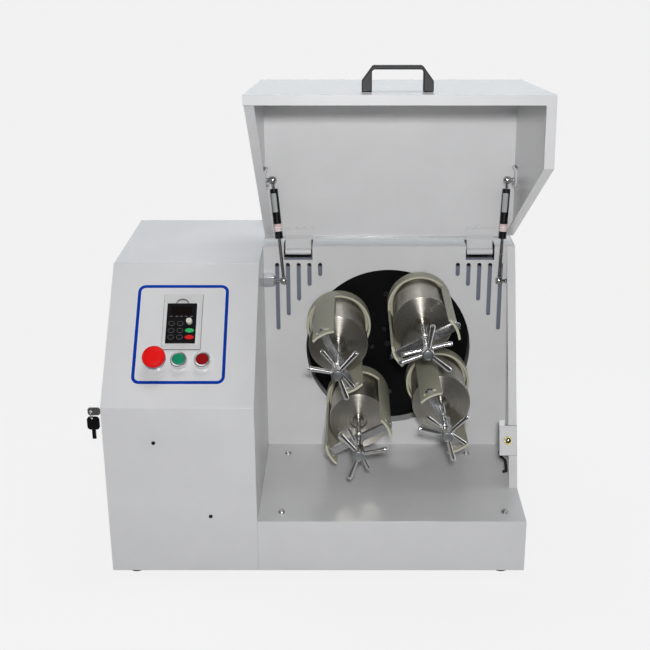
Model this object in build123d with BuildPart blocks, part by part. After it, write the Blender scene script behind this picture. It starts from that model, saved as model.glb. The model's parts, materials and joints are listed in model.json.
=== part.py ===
import os
from math import acos, atan2, cos, degrees, hypot, pi, radians, sin, sqrt, tan

from build123d import *

os.makedirs("parts", exist_ok=True)

# Horizontal planetary ball mill, standing on its feet, lid open.
# X runs to the right, Y from the front to the back, Z up from the bench.
# The origin is on the bench, under the middle of the footprint.

# Housing
width = 750.0
depth = 500.0
body_height = 524.0
foot_height = 10.0
foot_radius = 14.0
foot_insets = (40.0, 26.0)
foot_bore_radius = 3.3
sheet = 2.0
hem = 16.0
cabinet_width = 266.0
fold_height = 324.0
slope_run = 200.0
tray_height = 101.0
tray_bolt_inset = 83.0
chamber_depth = 315.0
wall_foot_depth = 126.0
wall_top_setback = 2.4
cabinet_wall_depth = 440.0
sheet_gap = 0.3
front_screws = ((88.6, 257.7), (183.0, 112.0))
screw_head_radius = 3.4
screw_head_height = 2.0
tray_bolt_margins = (42.0, 35.0)
washer_radius = 7.0
bolt_head_radius = 5.0
bolt_head_height = 4.0
cover_screw_inset = 20.0
vent_size = (120.0, 5.0)
vent_pitch = 14.0
vent_rows = 6

# Side door on its two pins
door_gap = 1.0
door_pin_radius = 3.0
door_pin_inset = 5.0
door_pin_setback = 6.0
bracket_height = 4.0
bracket_arm = 3.2
bracket_reach = 17.0
bracket_leg = 6.0

# Chamber panel
opening_radius = 162.0
collar_length = 26.0
rotor_height = 313.0
slot_width = 8.0
slot_pitch = 20.8
slot_top_drop = 35.0
slot_lengths = (138.0, 108.0, 77.0, 47.0, 27.0)
slot_inset = 25.5
notch_width = 55.0
notch_depth = 27.0
notch_inset = 39.0
notch_reach = 42.0

# Lid and its hinges, measured with the lid shut
lid_open_angle = 95.0
hinge_depth = 328.0
hinge_drop = 16.0
lid_gap = 1.5
lid_front_drop = 34.0
lid_chamfer_run = 72.0
lid_back_depth = 302.0
lid_back_lip = 24.0
seal_gap = 11.0
strap_width = 50.0
strap_thickness = 3.0
barrel_radius = 6.0
hinge_pin_radius = 3.0
ear_thickness = 3.0
ear_play = 0.5
ear_drop = 12.0
ear_runs = (16.0, 8.0)
strap_runs = (22.0, 30.0, 42.0)
strap_play = 1.0

# Lid handle
handle_width = 114.0
handle_height = 41.0
handle_leg = 17.0
handle_bar = 6.0
handle_shoulder = 17.0
handle_top_width = 77.0
handle_depth = 22.0
handle_rise = 63.0
handle_round = 1.5

# Gas struts, ball centres given from the walls, the front and the top of the body
strut_low_depth = 300.5
strut_low_drop = 66.0
strut_high_depth = 330.5
strut_high_rise = 125.0
strut_low_insets = (39.0, 28.0)
strut_high_insets = (20.0, 17.0)
strut_radius = 7.5
strut_length = 95.0
rod_radius = 3.0
neck_length = 17.0
piston_length = 6.0
piston_start = 6.0
strut_wall = 1.0
strut_cap = 5.0
socket_radius = 6.5
stud_radius = 3.5
stud_gap = 0.5
stud_boss_radius = 9.0
stud_boss_gap = 18.0
lid_bracket_size = (26.0, 36.0)
lid_bracket_shift = 6.0
lid_bracket_thickness = 3.0

# Rotor
carrier_radius = 160.0
carrier_thickness = 14.0
carrier_setback = 28.0
planet_circle = 114.0
planet_lead = 13.6
boss_radius = 36.0
boss_front = 13.0
boss_back = 41.0
bearing_outer = 31.0
bearing_width = 16.0
spindle_radius = 15.0
neck_radius = 22.0
shaft_radius = 20.0
shaft_flange_radius = 46.0
shaft_flange_thickness = 12.0
nose_radius = 14.0
balance_circle = 105.0
balance_bolt_radius = 4.0
flange_bolt_circle = 32.0
disk_bolt_heads = (6.0, 5.0, 7.0)
disk_bolt_rise = 5.0
bearing_shoulder = 4.0
running_gap = 0.08

# Gears
gear_module = 4.0
sun_teeth = 38
planet_teeth = 19
gear_width = 14.0
gear_gap = 4.0
backlash = 0.30
pressure_angle = 20.0

# Jar holders, jars and clamps
holder_radius = 62.0
holder_wall = 4.0
holder_depth = 30.0
holder_floor = 8.0
holder_panel_gap = 5.0
arm_length = 192.0
arm_width = 42.0
slot_arm_setback = 16.0
slot_arm_width = 26.0
jar_radius = 52.0
jar_length = 102.0
jar_lid_radius = 55.0
jar_lid_thickness = 20.0
dome_radius = 10.0
bar_width = 14.0
bar_thickness = 8.5
screw_radius = 5.0
wheel_hub_radius = 11.0
wheel_hub_length = 22.0
wheel_reach = 53.0
spoke_radius = 4.0
wheel_standoff = 48.0
nut_radius = 10.0
nut_length = 12.0
nut_reach = 46.0
nut_rod_radius = 3.2
nut_standoff = 33.0
jar_seat_height = 4.0
jar_wall = 8.0
jar_clearance = 0.15
slot_play = 0.5
contact_gap = 0.05
dome_height = 2.0
dome_groove = (6.0, 4.0)
dome_taper = 40.0
spigot_length = 6.0
bar_overhang = 3.0
bar_eye = 10.5
bar_lip = (6.0, 3.5)
hub_chamfer = 1.0

# Drive
pulley_radius = 95.0
motor_pulley_radius = 38.0
pulley_width = 18.0
pulley_setback = 472.0
belt_thickness = 6.0
belt_width = 12.0
motor_radius = 62.0
motor_length = 210.0
motor_height = 118.0
motor_inset = 138.0
plate_thickness = 10.0
housing_radius = 44.0
housing_length = 44.0
housing_flange = 14.0
cross_plate_drop = 60.0
groove_depth = 7.0
groove_play = 0.2
pulley_hole_circle = 55.0
pulley_hole_radius = 15.0
shaft_end = 3.0
motor_shaft_radius = 12.0
motor_shaft_sunk = 20.0
motor_gap = 13.0
motor_rib = 6.0
motor_ribs = 18
rib_size = (12.0, 3.0)
rib_span = (50.0, 135.0)
cap_lengths = (42.0, 21.0)
motor_foot_span = (63.0, 105.0)
motor_foot_width = 105.0
motor_foot_overlap = 40.0
terminal_box = (56.0, 74.0, 36.0)
terminal_place = 115.0
terminal_sunk = 12.0

# Controls on the sloping face, placed from the cabinet's left edge and up from the fold
control_height = 87.5
estop_inset = 90.0
start_inset = 132.0
stop_inset = 173.5
estop_radius = 20.5
button_radius = 12.2
bezel_radius = 14.5
barrel_hole_radius = 11.0
keypad_inset = 131.5
keypad_height = 160.0
keypad_size = (52.6, 77.4)
keypad_frame_size = (68.5, 107.5)
keypad_frame_height = 164.5
keypad_frame_shift = 1.5
keypad_frame_thickness = 2.5
keypad_depth = 20.0
keypad_rise = 6.0
finger_notch_radius = 10.0
finger_notch_shift = 0.5
display_rise = 22.0
display_height = 20.0
display_margin = 7.0
key_size = (13.0, 8.0)
key_rise = 0.8
key_columns = (114.8, 130.3)
key_rows = (158.5, 144.8, 131.9)
right_keys = ((147.4, 145.0), (147.6, 131.9))
knob_place = (146.5, 161.3)
knob_radius = 5.2
knob_height = 8.0
knob_dimple = 0.6
knob_shaft = (3.0, 2.0)
stem_radius = 9.0
stem_depth = 12.0
barrel_depth = 28.0
estop_collar = (17.0, 10.0)
estop_rise = 14.5
estop_thickness = 13.5
estop_round = 5.0
bezel_floor = 1.5
bezel_rise = 4.5
button_rise = 4.0
button_thickness = 4.2
button_chamfer = 0.8
button_gap = 0.3

# Door lock and keys
lock_depth = 38.0
lock_height = 301.0
lock_radius = 9.0
cam_setback = 15.0
keeper_setback = 11.5
keeper_reach = 20.0
keeper_height = 30.0
lock_flange = 3.0
lock_length = 18.0
cam_size = (34.0, 14.0)
cam_drop = 8.0
keyway = (3.4, 9.0, 12.0)
key_bow = (22.0, 15.0)
key_blade = (14.0, 8.0)
key_thickness = 3.0
key_hole = 2.5
key_reach = 20.0
ring_setback = 25.0
ring_radius = 7.4
ring_wire = 0.8
ring_lift = 1.5
spare_key_length = 42.0
spare_bow = (22.0, 25.0)
spare_hole = 2.2
spare_hole_drop = 3.0
spare_shift = 2.5
spare_blade_width = 7.0

# Interlock on the right wall
interlock_width = 32.0
interlock_length = 56.0
interlock_thickness = 9.0
interlock_rise = 62.0
guide_size = (10.0, 12.0, 7.0)
guide_shift = 11.0
lever_path = ((-13.0, 8.0), (-11.0, -1.0), (-3.0, -8.0), (-1.0, -20.0), (-1.0, -31.0), (-9.0, -33.0))
lever_width = 5.0
lever_thickness = 6.0
plunger_radius = 8.0
plunger_rise = 1.5
plunger_slot = (12.0, 1.6)
plunger_well = 6.0
plunger_length = 4.0

# Places worked out from the sizes above
left = -width / 2
right = width / 2
front = -depth / 2
back = depth / 2
floor = foot_height
top = floor + body_height
chamber_left = left + cabinet_width
chamber_middle = (chamber_left + right) / 2
panel_front = front + chamber_depth
tray_top = floor + tray_height
hinge_height = body_height - hinge_drop
lid_front_height = body_height - lid_front_drop
plate_top = floor + 2 * sheet
fold = floor + fold_height
foot_places = [(x, y) for x in (left + foot_insets[0], right - foot_insets[0])
               for y in (front + foot_insets[1], back - foot_insets[1])]
slope_rise = body_height - fold_height
slope_angle = degrees(atan2(slope_rise, slope_run))
rotor_z = floor + rotor_height
hinge_y = front + hinge_depth
hinge_z = floor + hinge_height
wall_lean = (chamber_depth - wall_top_setback - wall_foot_depth) / (body_height - tray_height)
wall_edge = sheet * hypot(1, wall_lean)


def bent_sheet(points, thickness):
    # Outline of a sheet bent along the points, its thickness to their right
    inner = []
    last = len(points) - 1
    for i, (x, y) in enumerate(points):
        normals = []
        for a, b in ((i - 1, i), (i, i + 1)):
            if a >= 0 and b <= last:
                run, rise = points[b][0] - points[a][0], points[b][1] - points[a][1]
                length = hypot(run, rise)
                normals.append((rise / length, -run / length))
        nx = sum(n[0] for n in normals) / len(normals)
        ny = sum(n[1] for n in normals) / len(normals)
        scale = thickness / (nx * nx + ny * ny)
        inner.append((x + nx * scale, y + ny * scale))
    return points + inner[::-1]


def side_plane(x):
    # Sketch plane seen from the right: local x is Y and local y is Z
    return Plane(origin=(x, 0, 0), x_dir=(0, 1, 0), z_dir=(1, 0, 0))


def lid_plane(x):
    # The same plane turned with the lid: sketches on it are drawn with the lid shut
    swing = radians(lid_open_angle)
    return Plane(origin=(x, hinge_y, hinge_z), x_dir=(0, cos(swing), -sin(swing)), z_dir=(1, 0, 0))


def shut(y, z):
    # Point of the shut lid, from the front plane and the body's underside, on lid_plane
    return (y - hinge_depth, z - hinge_height)


def slope_plane(across, up, rise=0.0):
    # Plane on the sloping face, looking outwards, its x to the right and y up the slope
    lean = radians(slope_angle)
    outward = Vector(0, -sin(lean), cos(lean))
    along = Vector(0, cos(lean), sin(lean))
    corner = Vector(left, front, fold)
    return Plane(origin=corner + Vector(across, 0, 0) + along * up + outward * rise,
                 x_dir=(1, 0, 0), z_dir=outward)


def axial_plane(x, y, z):
    # Plane across the rotor's axis, looking to the front
    return Plane(origin=(x, y, z), x_dir=(1, 0, 0), z_dir=(0, -1, 0))


def keep(solid, name):
    solid.label = name
    export_step(solid, f"parts/{name}.step")


# Cabinet on the left, with the sloping control face, and the top of the rear compartment
cabinet_path = [
    (front + hem, floor), (front, floor), (front, fold),
    (front + slope_run, top), (back - sheet, top), (back - sheet, top - hem),
]
with BuildPart() as cabinet_shell:
    with BuildSketch(side_plane(left)):
        Polygon(*bent_sheet(cabinet_path, sheet), align=None)
    extrude(amount=cabinet_width)
    with BuildSketch(side_plane(chamber_left - sheet)):
        Polygon((front, plate_top), (front, fold), (front + slope_run, top),
                (front + cabinet_wall_depth, top), (front + cabinet_wall_depth, plate_top), align=None)
    extrude(amount=sheet)
    with BuildSketch(Plane.XY.offset(top - sheet)):
        with Locations(((chamber_left + right - sheet) / 2, (panel_front + back - sheet) / 2)):
            Rectangle(right - sheet - chamber_left, back - sheet - panel_front)
    extrude(amount=sheet)
    with BuildSketch(side_plane(chamber_left)):
        Polygon((back - 2 * sheet, top - hem), (back - 2 * sheet, top), (back - sheet, top),
                (back - sheet, top - hem), align=None)
    extrude(amount=right - sheet - chamber_left)
    with BuildSketch(Plane.XY.offset(top - sheet)):
        for side in (-1, 1):
            x = chamber_middle + side * ((right - chamber_left) / 2 - notch_inset - notch_width / 2)
            with Locations((x, panel_front + notch_reach / 2)):
                Rectangle(notch_width, notch_reach)
    extrude(amount=sheet, mode=Mode.SUBTRACT)
    with BuildSketch(side_plane(left + keeper_setback)):
        with Locations((front + keeper_reach / 2, floor + lock_height)):
            Rectangle(keeper_reach, keeper_height)
    extrude(amount=sheet)
    for across in (estop_inset, start_inset, stop_inset):
        with BuildSketch(slope_plane(across, control_height)):
            Circle(barrel_hole_radius + sheet_gap)
        extrude(amount=-2 * sheet, mode=Mode.SUBTRACT)
    with BuildSketch(slope_plane(keypad_inset, keypad_height)):
        Rectangle(keypad_size[0] + 2 * sheet_gap, keypad_size[1] + 2 * sheet_gap)
    extrude(amount=-2 * sheet, mode=Mode.SUBTRACT)
keep(cabinet_shell.part, "cabinet_shell")

# Base under the chamber: tray, front skirt and right skirt
with BuildPart() as base_tray:
    tray_path = [(front + hem, floor), (front, floor), (front, tray_top), (panel_front + hem, tray_top)]
    with BuildSketch(side_plane(chamber_left)):
        Polygon(*bent_sheet(tray_path, sheet), align=None)
    extrude(amount=right - chamber_left)
    with BuildSketch(side_plane(right - sheet)):
        Polygon((front, floor), (front, tray_top), (back - sheet, tray_top), (back - sheet, floor),
                align=None)
    extrude(amount=sheet)
keep(base_tray.part, "base_tray")

# Floor of the whole machine
with BuildPart() as bottom_plate:
    with BuildSketch(Plane.XY.offset(floor + sheet)):
        with Locations((0, -sheet / 2)):
            Rectangle(width - 2 * sheet - 2 * sheet_gap, depth - 3 * sheet - 2 * sheet_gap)
        with Locations(*foot_places):
            Circle(foot_bore_radius, mode=Mode.SUBTRACT)
    extrude(amount=sheet)
keep(bottom_plate.part, "bottom_plate")

# Rubber feet under the corners, bored for the screws that hold the machine down to a bench
with BuildPart() as feet:
    for x, y in foot_places:
        with BuildSketch(Plane((x, y, 0))):
            Circle(foot_radius)
        extrude(amount=foot_height, taper=-4)
        with BuildSketch(Plane((x, y, foot_height))):
            Circle(foot_radius / 2)
        extrude(amount=sheet)
        with BuildSketch(Plane((x, y, 0))):
            Circle(foot_bore_radius)
        extrude(amount=foot_height + sheet, mode=Mode.SUBTRACT)
keep(feet.part, "feet")

# Back wall of the chamber, with the rotor's opening, air slots and hinge notches
with BuildPart() as chamber_panel:
    panel_middle = (chamber_left + right - sheet) / 2
    with BuildSketch(axial_plane(0, panel_front, 0)):
        with Locations((panel_middle, (tray_top + top - sheet) / 2)):
            Rectangle(right - sheet - chamber_left, top - sheet - tray_top)
        with Locations((chamber_middle, rotor_z)):
            Circle(opening_radius, mode=Mode.SUBTRACT)
        for side in (-1, 1):
            wall_x = chamber_middle + side * (right - chamber_left) / 2
            for i, length in enumerate(slot_lengths):
                x = wall_x - side * (slot_inset + i * slot_pitch)
                with Locations((x, top - slot_top_drop - length / 2)):
                    SlotOverall(length, slot_width, rotation=90, mode=Mode.SUBTRACT)
            with Locations((wall_x - side * (notch_inset + notch_width / 2), top - sheet)):
                Rectangle(notch_width, 2 * notch_depth, mode=Mode.SUBTRACT)
    extrude(amount=-sheet)
    with BuildSketch(axial_plane(chamber_middle, panel_front, rotor_z)):
        Circle(opening_radius + sheet)
        Circle(opening_radius, mode=Mode.SUBTRACT)
    extrude(amount=-collar_length)
keep(chamber_panel.part, "chamber_panel")

# Right wall with its sloping, hemmed front edge
wall_top_depth = panel_front - wall_top_setback
with BuildPart() as right_wall:
    with BuildSketch(side_plane(right - sheet)):
        Polygon((front + wall_foot_depth, tray_top), (wall_top_depth, top),
                (back - sheet, top), (back - sheet, tray_top), align=None)
    extrude(amount=sheet)
    with BuildSketch(side_plane(right - hem)):
        Polygon((front + wall_foot_depth, tray_top), (wall_top_depth, top),
                (wall_top_depth + wall_edge, top), (front + wall_foot_depth + wall_edge, tray_top),
                align=None)
    extrude(amount=hem)
keep(right_wall.part, "right_wall")

# Rear cover with two banks of air slots
with BuildPart() as rear_cover:
    with BuildSketch(axial_plane(0, back, 0)):
        with Locations((0, (floor + top) / 2)):
            Rectangle(width, body_height)
        for x in (left + cabinet_width / 2, chamber_middle):
            with Locations((x, floor + body_height / 4)):
                with GridLocations(0, vent_pitch, 1, vent_rows):
                    SlotOverall(*vent_size, mode=Mode.SUBTRACT)
    extrude(amount=sheet)
keep(rear_cover.part, "rear_cover")

# Screws of the housing: two in the cabinet's front, four in the tray, six in the rear cover
with BuildPart() as housing_screws:
    for across, up in front_screws:
        with BuildSketch(axial_plane(left + across, front, floor + up)):
            Circle(screw_head_radius)
        extrude(amount=screw_head_height)
    wide, narrow = tray_bolt_margins
    for x, y in ((chamber_left + wide, front + narrow), (right - narrow, front + narrow),
                 (chamber_left + wide, panel_front - wide), (right - tray_bolt_inset, panel_front - wide)):
        with BuildSketch(Plane((x, y, tray_top))):
            Circle(washer_radius)
        extrude(amount=1)
        with BuildSketch(Plane((x, y, tray_top + 1))):
            RegularPolygon(bolt_head_radius, 6)
        extrude(amount=bolt_head_height)
    for x in (left + cover_screw_inset, 0, right - cover_screw_inset):
        for z in (floor + cover_screw_inset, top - cover_screw_inset / 2):
            with BuildSketch(Plane(origin=(x, back, z), x_dir=(-1, 0, 0), z_dir=(0, 1, 0))):
                Circle(screw_head_radius)
            extrude(amount=screw_head_height)
keep(housing_screws.part, "housing_screws")

# Door that closes the cabinet's left side, swinging on two pins at its rear edge
door_front = front + sheet + door_gap
door_back = back - 2 * sheet - 4 * door_gap
door_low = floor + 2 * sheet + door_gap
door_high = top - sheet - door_gap
door_pin_x = left + sheet + door_pin_inset
door_pin_y = door_back - door_pin_setback
slope_shift = (sheet + door_gap) * tan(radians(slope_angle) / 2)
fold_shift = (sheet + door_gap) * tan(radians(90 - slope_angle) / 2)
door_outline = [
    (door_front, door_low), (door_front, fold - fold_shift),
    (front + slope_run + slope_shift, door_high), (door_back, door_high), (door_back, door_low),
]
with BuildPart() as side_door:
    with BuildSketch(side_plane(left)):
        Polygon(*door_outline, align=None)
    extrude(amount=sheet)
    with BuildSketch(side_plane(left + sheet)):
        Polygon(*bent_sheet([(door_front, door_low), (door_front, fold - fold_shift)], sheet), align=None)
    extrude(amount=hem / 2)
    for z in (door_low + hem, door_high - 2 * hem):
        with BuildSketch(Plane((door_pin_x, door_pin_y, z))):
            Rectangle(2 * door_pin_inset, 2 * door_pin_inset)
            Circle(door_pin_radius + running_gap, mode=Mode.SUBTRACT)
        extrude(amount=hem)
    with BuildSketch(side_plane(left)):
        with Locations((front + lock_depth, floor + lock_height)):
            Circle(lock_radius - 1 + running_gap)
    extrude(amount=sheet, mode=Mode.SUBTRACT)
keep(side_door.part, "side_door")

# Hinge posts of the door: two pins on brackets that stand on the rear cover
bracket_end = back - sheet - door_pin_y
bracket_radius = door_pin_inset - 2 * sheet_gap
bracket_turn = bracket_reach - bracket_leg
with BuildPart() as door_hinge_pins:
    for z in (door_low + hem, door_high - 2 * hem):
        with BuildSketch(Plane((door_pin_x, door_pin_y, z - bracket_height))):
            Circle(door_pin_radius)
        extrude(amount=hem + bracket_height)
        with BuildSketch(Plane((door_pin_x, door_pin_y, z - bracket_height))):
            Circle(bracket_radius)
            Polygon((0, -bracket_radius), (bracket_reach, -bracket_radius), (bracket_reach, bracket_end),
                    (bracket_turn, bracket_end), (bracket_turn, bracket_arm), (0, bracket_arm), align=None)
        extrude(amount=bracket_height - sheet_gap)
keep(door_hinge_pins.part, "door_hinge_pins")

# Cam lock in the door: barrel, flange and cam behind the sheet
lock_y = front + lock_depth
lock_z = floor + lock_height


def lock_plane(x):
    # Plane at the lock, looking out to the left
    return Plane(origin=(x, lock_y, lock_z), x_dir=(0, -1, 0), z_dir=(-1, 0, 0))


with BuildPart() as lock_barrel:
    with BuildSketch(lock_plane(left - sheet_gap)):
        Circle(lock_radius)
    extrude(amount=lock_flange)
    with BuildSketch(lock_plane(left - sheet_gap)):
        Circle(lock_radius - 1)
    extrude(amount=-lock_length)
    with BuildSketch(lock_plane(left + cam_setback)):
        with Locations((0, cam_drop)):
            SlotOverall(*cam_size, rotation=90)
    extrude(amount=-sheet)
    with BuildSketch(lock_plane(left - sheet_gap - lock_flange)):
        Rectangle(keyway[0], keyway[1])
    extrude(amount=-keyway[2], mode=Mode.SUBTRACT)
keep(lock_barrel.part, "lock_barrel")

# Key in the lock, with the ring through its bow
ring_x = left - ring_setback
ring_z = lock_z - ring_radius + ring_lift
key_plane = axial_plane(0, lock_y + key_thickness / 2, 0)
with BuildPart() as lock_key:
    with BuildSketch(key_plane):
        with Locations((left - key_reach, lock_z)):
            RectangleRounded(*key_bow, key_bow[1] / 3)
        with Locations((ring_x, lock_z)):
            Circle(key_hole, mode=Mode.SUBTRACT)
        with Locations((left + 3 - key_blade[0] / 2, lock_z)):
            Rectangle(*key_blade)
    extrude(amount=key_thickness)
    with BuildSketch(Plane(origin=(ring_x, lock_y, ring_z + ring_radius), x_dir=(1, 0, 0), z_dir=(0, -1, 0))):
        Circle(ring_wire)
    revolve(axis=Axis((ring_x, lock_y, ring_z), (1, 0, 0)), revolution_arc=360)
keep(lock_key.part, "lock_key")

# Spare key hanging on the ring
spare_x = ring_x + spare_shift
spare_top = ring_z - ring_radius + spare_hole_drop
with BuildPart() as spare_key:
    with BuildSketch(key_plane):
        with Locations((spare_x, spare_top - spare_bow[1] / 2)):
            RectangleRounded(*spare_bow, spare_bow[1] / 4)
        with Locations((ring_x, spare_top - spare_hole_drop - 0.2)):
            Circle(spare_hole, mode=Mode.SUBTRACT)
        with Locations((spare_x, spare_top - (spare_bow[1] + spare_key_length) / 2)):
            Rectangle(spare_blade_width, spare_key_length - spare_bow[1] + 2)
    extrude(amount=key_thickness)
keep(spare_key.part, "spare_key")


# Lid, drawn shut and turned about its hinge by lid_plane
lid_left = chamber_left + lid_gap
lid_base = tray_height + lid_gap
seal_run = (seal_gap + 1) * hypot(1, wall_lean)
lid_foot = wall_foot_depth - seal_run + wall_lean * lid_gap


def seal_point(z):
    # Point of the lid's sloping right edge at a height
    return shut(lid_foot + wall_lean * (z - lid_base), z)


lid_path = [
    shut(hem, lid_base), shut(0, lid_base), shut(0, lid_front_height),
    shut(lid_chamfer_run, body_height), shut(lid_back_depth, body_height),
    shut(lid_back_depth, body_height - lid_back_lip),
]
right_lid_side = [
    shut(0, lid_base), shut(0, lid_front_height), shut(lid_chamfer_run, body_height),
    seal_point(body_height), seal_point(lid_base),
]
left_lid_side = [
    shut(0, lid_base), shut(0, lid_front_height), shut(lid_chamfer_run, body_height),
    shut(lid_back_depth, body_height), shut(2 * sheet, lid_base),
]
with BuildPart() as lid_shell:
    with BuildSketch(lid_plane(lid_left)):
        Polygon(*bent_sheet(lid_path, sheet), align=None)
    extrude(amount=right - lid_left)
    with BuildSketch(lid_plane(right - hem)):
        Polygon(seal_point(lid_base - hem), seal_point(body_height + hem),
                shut(lid_back_depth + hem, body_height + hem), shut(lid_back_depth + hem, lid_base - hem),
                align=None)
    extrude(amount=hem + sheet, mode=Mode.SUBTRACT)
    with BuildSketch(lid_plane(right - sheet)):
        Polygon(*right_lid_side, align=None)
    extrude(amount=sheet)
    with BuildSketch(lid_plane(lid_left)):
        Polygon(*left_lid_side, align=None)
    extrude(amount=sheet)
    right_edge = [seal_point(body_height), seal_point(lid_base)]
    with BuildSketch(lid_plane(right - hem)):
        Polygon(*bent_sheet(right_edge, sheet), align=None)
    extrude(amount=hem)
    left_edge = [shut(lid_back_depth, body_height), shut(2 * sheet, lid_base)]
    with BuildSketch(lid_plane(lid_left)):
        Polygon(*bent_sheet(left_edge, sheet), align=None)
    extrude(amount=hem)
    for side in (-1, 1):
        x = chamber_middle + side * ((right - chamber_left) / 2 - notch_inset - notch_width / 2)
        with BuildSketch(lid_plane(x - strap_width / 2 - strap_play)):
            low = shut(lid_back_depth - 2 * sheet, body_height - lid_back_lip - 1)
            high = shut(lid_back_depth + 1, body_height - sheet)
            Polygon(low, (low[0], high[1]), high, (high[0], low[1]), align=None)
        extrude(amount=strap_width + 2 * strap_play, mode=Mode.SUBTRACT)
        strap_rise = body_height - sheet - hinge_height
        strap_path = [
            (0, barrel_radius), (-strap_runs[0], barrel_radius), (-strap_runs[1], strap_rise),
            (-strap_runs[2], strap_rise),
        ]
        with BuildSketch(lid_plane(x - strap_width / 2)):
            Polygon(*bent_sheet(strap_path[::-1], strap_thickness), align=None)
            Circle(barrel_radius)
            Circle(hinge_pin_radius + running_gap, mode=Mode.SUBTRACT)
        extrude(amount=strap_width)
keep(lid_shell.part, "lid_shell")

# Hinge pins with the ears that hold them under the top of the rear compartment
with BuildPart() as hinge_brackets:
    for side in (-1, 1):
        x = chamber_middle + side * ((right - chamber_left) / 2 - notch_inset - notch_width / 2)
        for ear in (-1, 1):
            ear_x = x + ear * (notch_width / 2 + ear_thickness / 2 + ear_play) - ear_thickness / 2
            with BuildSketch(side_plane(ear_x)):
                Polygon((panel_front + sheet, hinge_z - ear_drop), (panel_front + sheet, top - sheet),
                        (hinge_y + ear_runs[0], top - sheet), (hinge_y + ear_runs[1], hinge_z - ear_drop),
                        align=None)
            extrude(amount=ear_thickness)
        with BuildSketch(side_plane(x - notch_width / 2 - ear_thickness)):
            with Locations((hinge_y, hinge_z)):
                Circle(hinge_pin_radius)
        extrude(amount=notch_width + 2 * ear_thickness)
keep(hinge_brackets.part, "hinge_brackets")

# Lid handle, bolted to the lid's front near its lower edge
handle_outline = [
    (-handle_width / 2, 0), (-handle_width / 2, handle_shoulder), (-handle_top_width / 2, handle_height),
    (handle_top_width / 2, handle_height), (handle_width / 2, handle_shoulder), (handle_width / 2, 0),
]
swing = radians(lid_open_angle)
lid_out = Vector(0, -cos(swing), sin(swing))
lid_up = Vector(0, sin(swing), cos(swing))
hinge_point = Vector(0, hinge_y, hinge_z)
handle_foot = hinge_point + lid_out * hinge_depth + lid_up * (lid_base + handle_rise - hinge_height)
with BuildPart() as lid_handle:
    with BuildSketch(Plane(origin=handle_foot + Vector(chamber_middle, 0, 0), x_dir=(-1, 0, 0),
                           z_dir=lid_up)):
        Polygon(*handle_outline, align=None)
        with Locations((0, (handle_height - handle_bar) / 2 - 1)):
            Rectangle(handle_width - 2 * handle_leg, handle_height - handle_bar + 2, mode=Mode.SUBTRACT)
    extrude(amount=handle_depth)
    fillet(lid_handle.edges().filter_by(Axis.X).group_by(SortBy.DISTANCE)[-1], handle_round)
keep(lid_handle.part, "lid_handle")


def strut_ends(side):
    # Ball centres of the left (-1) or right (1) gas strut
    index = (side + 1) // 2
    wall = chamber_left if side < 0 else right - sheet
    low = Vector(wall - side * strut_low_insets[index], front + strut_low_depth, top - strut_low_drop)
    high = Vector(wall - side * strut_high_insets[index], front + strut_high_depth, top + strut_high_rise)
    return low, high


def cross_plane(point):
    # Plane across the X axis at a point
    return Plane(origin=point, x_dir=(0, 1, 0), z_dir=(1, 0, 0))


# Gas struts: the rod turns on the wall's stud, the cylinder slides on the rod
for side, name in ((-1, "left"), (1, "right")):
    low, high = strut_ends(side)
    reach = (high - low).length
    along = (high - low).normalized()
    mouth = reach - neck_length - strut_length
    base = Plane(origin=low, x_dir=(0, 1, 0), z_dir=along)
    with BuildPart() as strut_rod:
        with BuildSketch(base):
            Circle(rod_radius)
        extrude(amount=mouth + piston_start + piston_length)
        with BuildSketch(base.offset(mouth + piston_start)):
            Circle(strut_radius - strut_wall - running_gap)
        extrude(amount=piston_length)
        with BuildSketch(Plane(origin=low, x_dir=along, z_dir=along.cross(Vector(1, 0, 0)))):
            Circle(socket_radius)
            Rectangle(2 * socket_radius, socket_radius, align=(Align.CENTER, Align.MIN), mode=Mode.SUBTRACT)
        revolve(axis=Axis(low, along))
        with BuildSketch(cross_plane(low - Vector(2 * socket_radius, 0, 0))):
            Circle(stud_radius + running_gap)
        extrude(amount=4 * socket_radius, mode=Mode.SUBTRACT)
    keep(strut_rod.part, f"{name}_strut_rod")
    with BuildPart() as strut_cylinder:
        with BuildSketch(base.offset(mouth)):
            Circle(strut_radius)
        extrude(amount=strut_length)
        with BuildSketch(base.offset(mouth + strut_cap)):
            Circle(strut_radius - strut_wall)
        extrude(amount=strut_length - 2 * strut_cap, mode=Mode.SUBTRACT)
        with BuildSketch(base.offset(mouth)):
            Circle(rod_radius + running_gap)
        extrude(amount=strut_cap, mode=Mode.SUBTRACT)
        with BuildSketch(base.offset(mouth + strut_length)):
            Circle(rod_radius)
        extrude(amount=neck_length)
        with BuildSketch(Plane(origin=high, x_dir=along, z_dir=along.cross(Vector(1, 0, 0)))):
            Circle(socket_radius)
            Rectangle(2 * socket_radius, socket_radius, align=(Align.CENTER, Align.MIN), mode=Mode.SUBTRACT)
        revolve(axis=Axis(high, along))
    keep(strut_cylinder.part, f"{name}_strut_cylinder")

# Studs that carry the struts: two on the chamber's walls, two on brackets in the lid
with BuildPart() as strut_wall_studs:
    for side in (-1, 1):
        low, high = strut_ends(side)
        wall = chamber_left if side < 0 else right - sheet
        spacer = strut_low_insets[(side + 1) // 2] - stud_boss_gap
        with BuildSketch(cross_plane(Vector(wall, low.Y, low.Z))):
            Circle(stud_boss_radius)
        extrude(amount=-side * spacer)
        with BuildSketch(cross_plane(Vector(wall, low.Y, low.Z))):
            Circle(stud_radius)
        extrude(amount=-side * (abs(low.X - wall) + socket_radius))
keep(strut_wall_studs.part, "strut_wall_studs")

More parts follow.
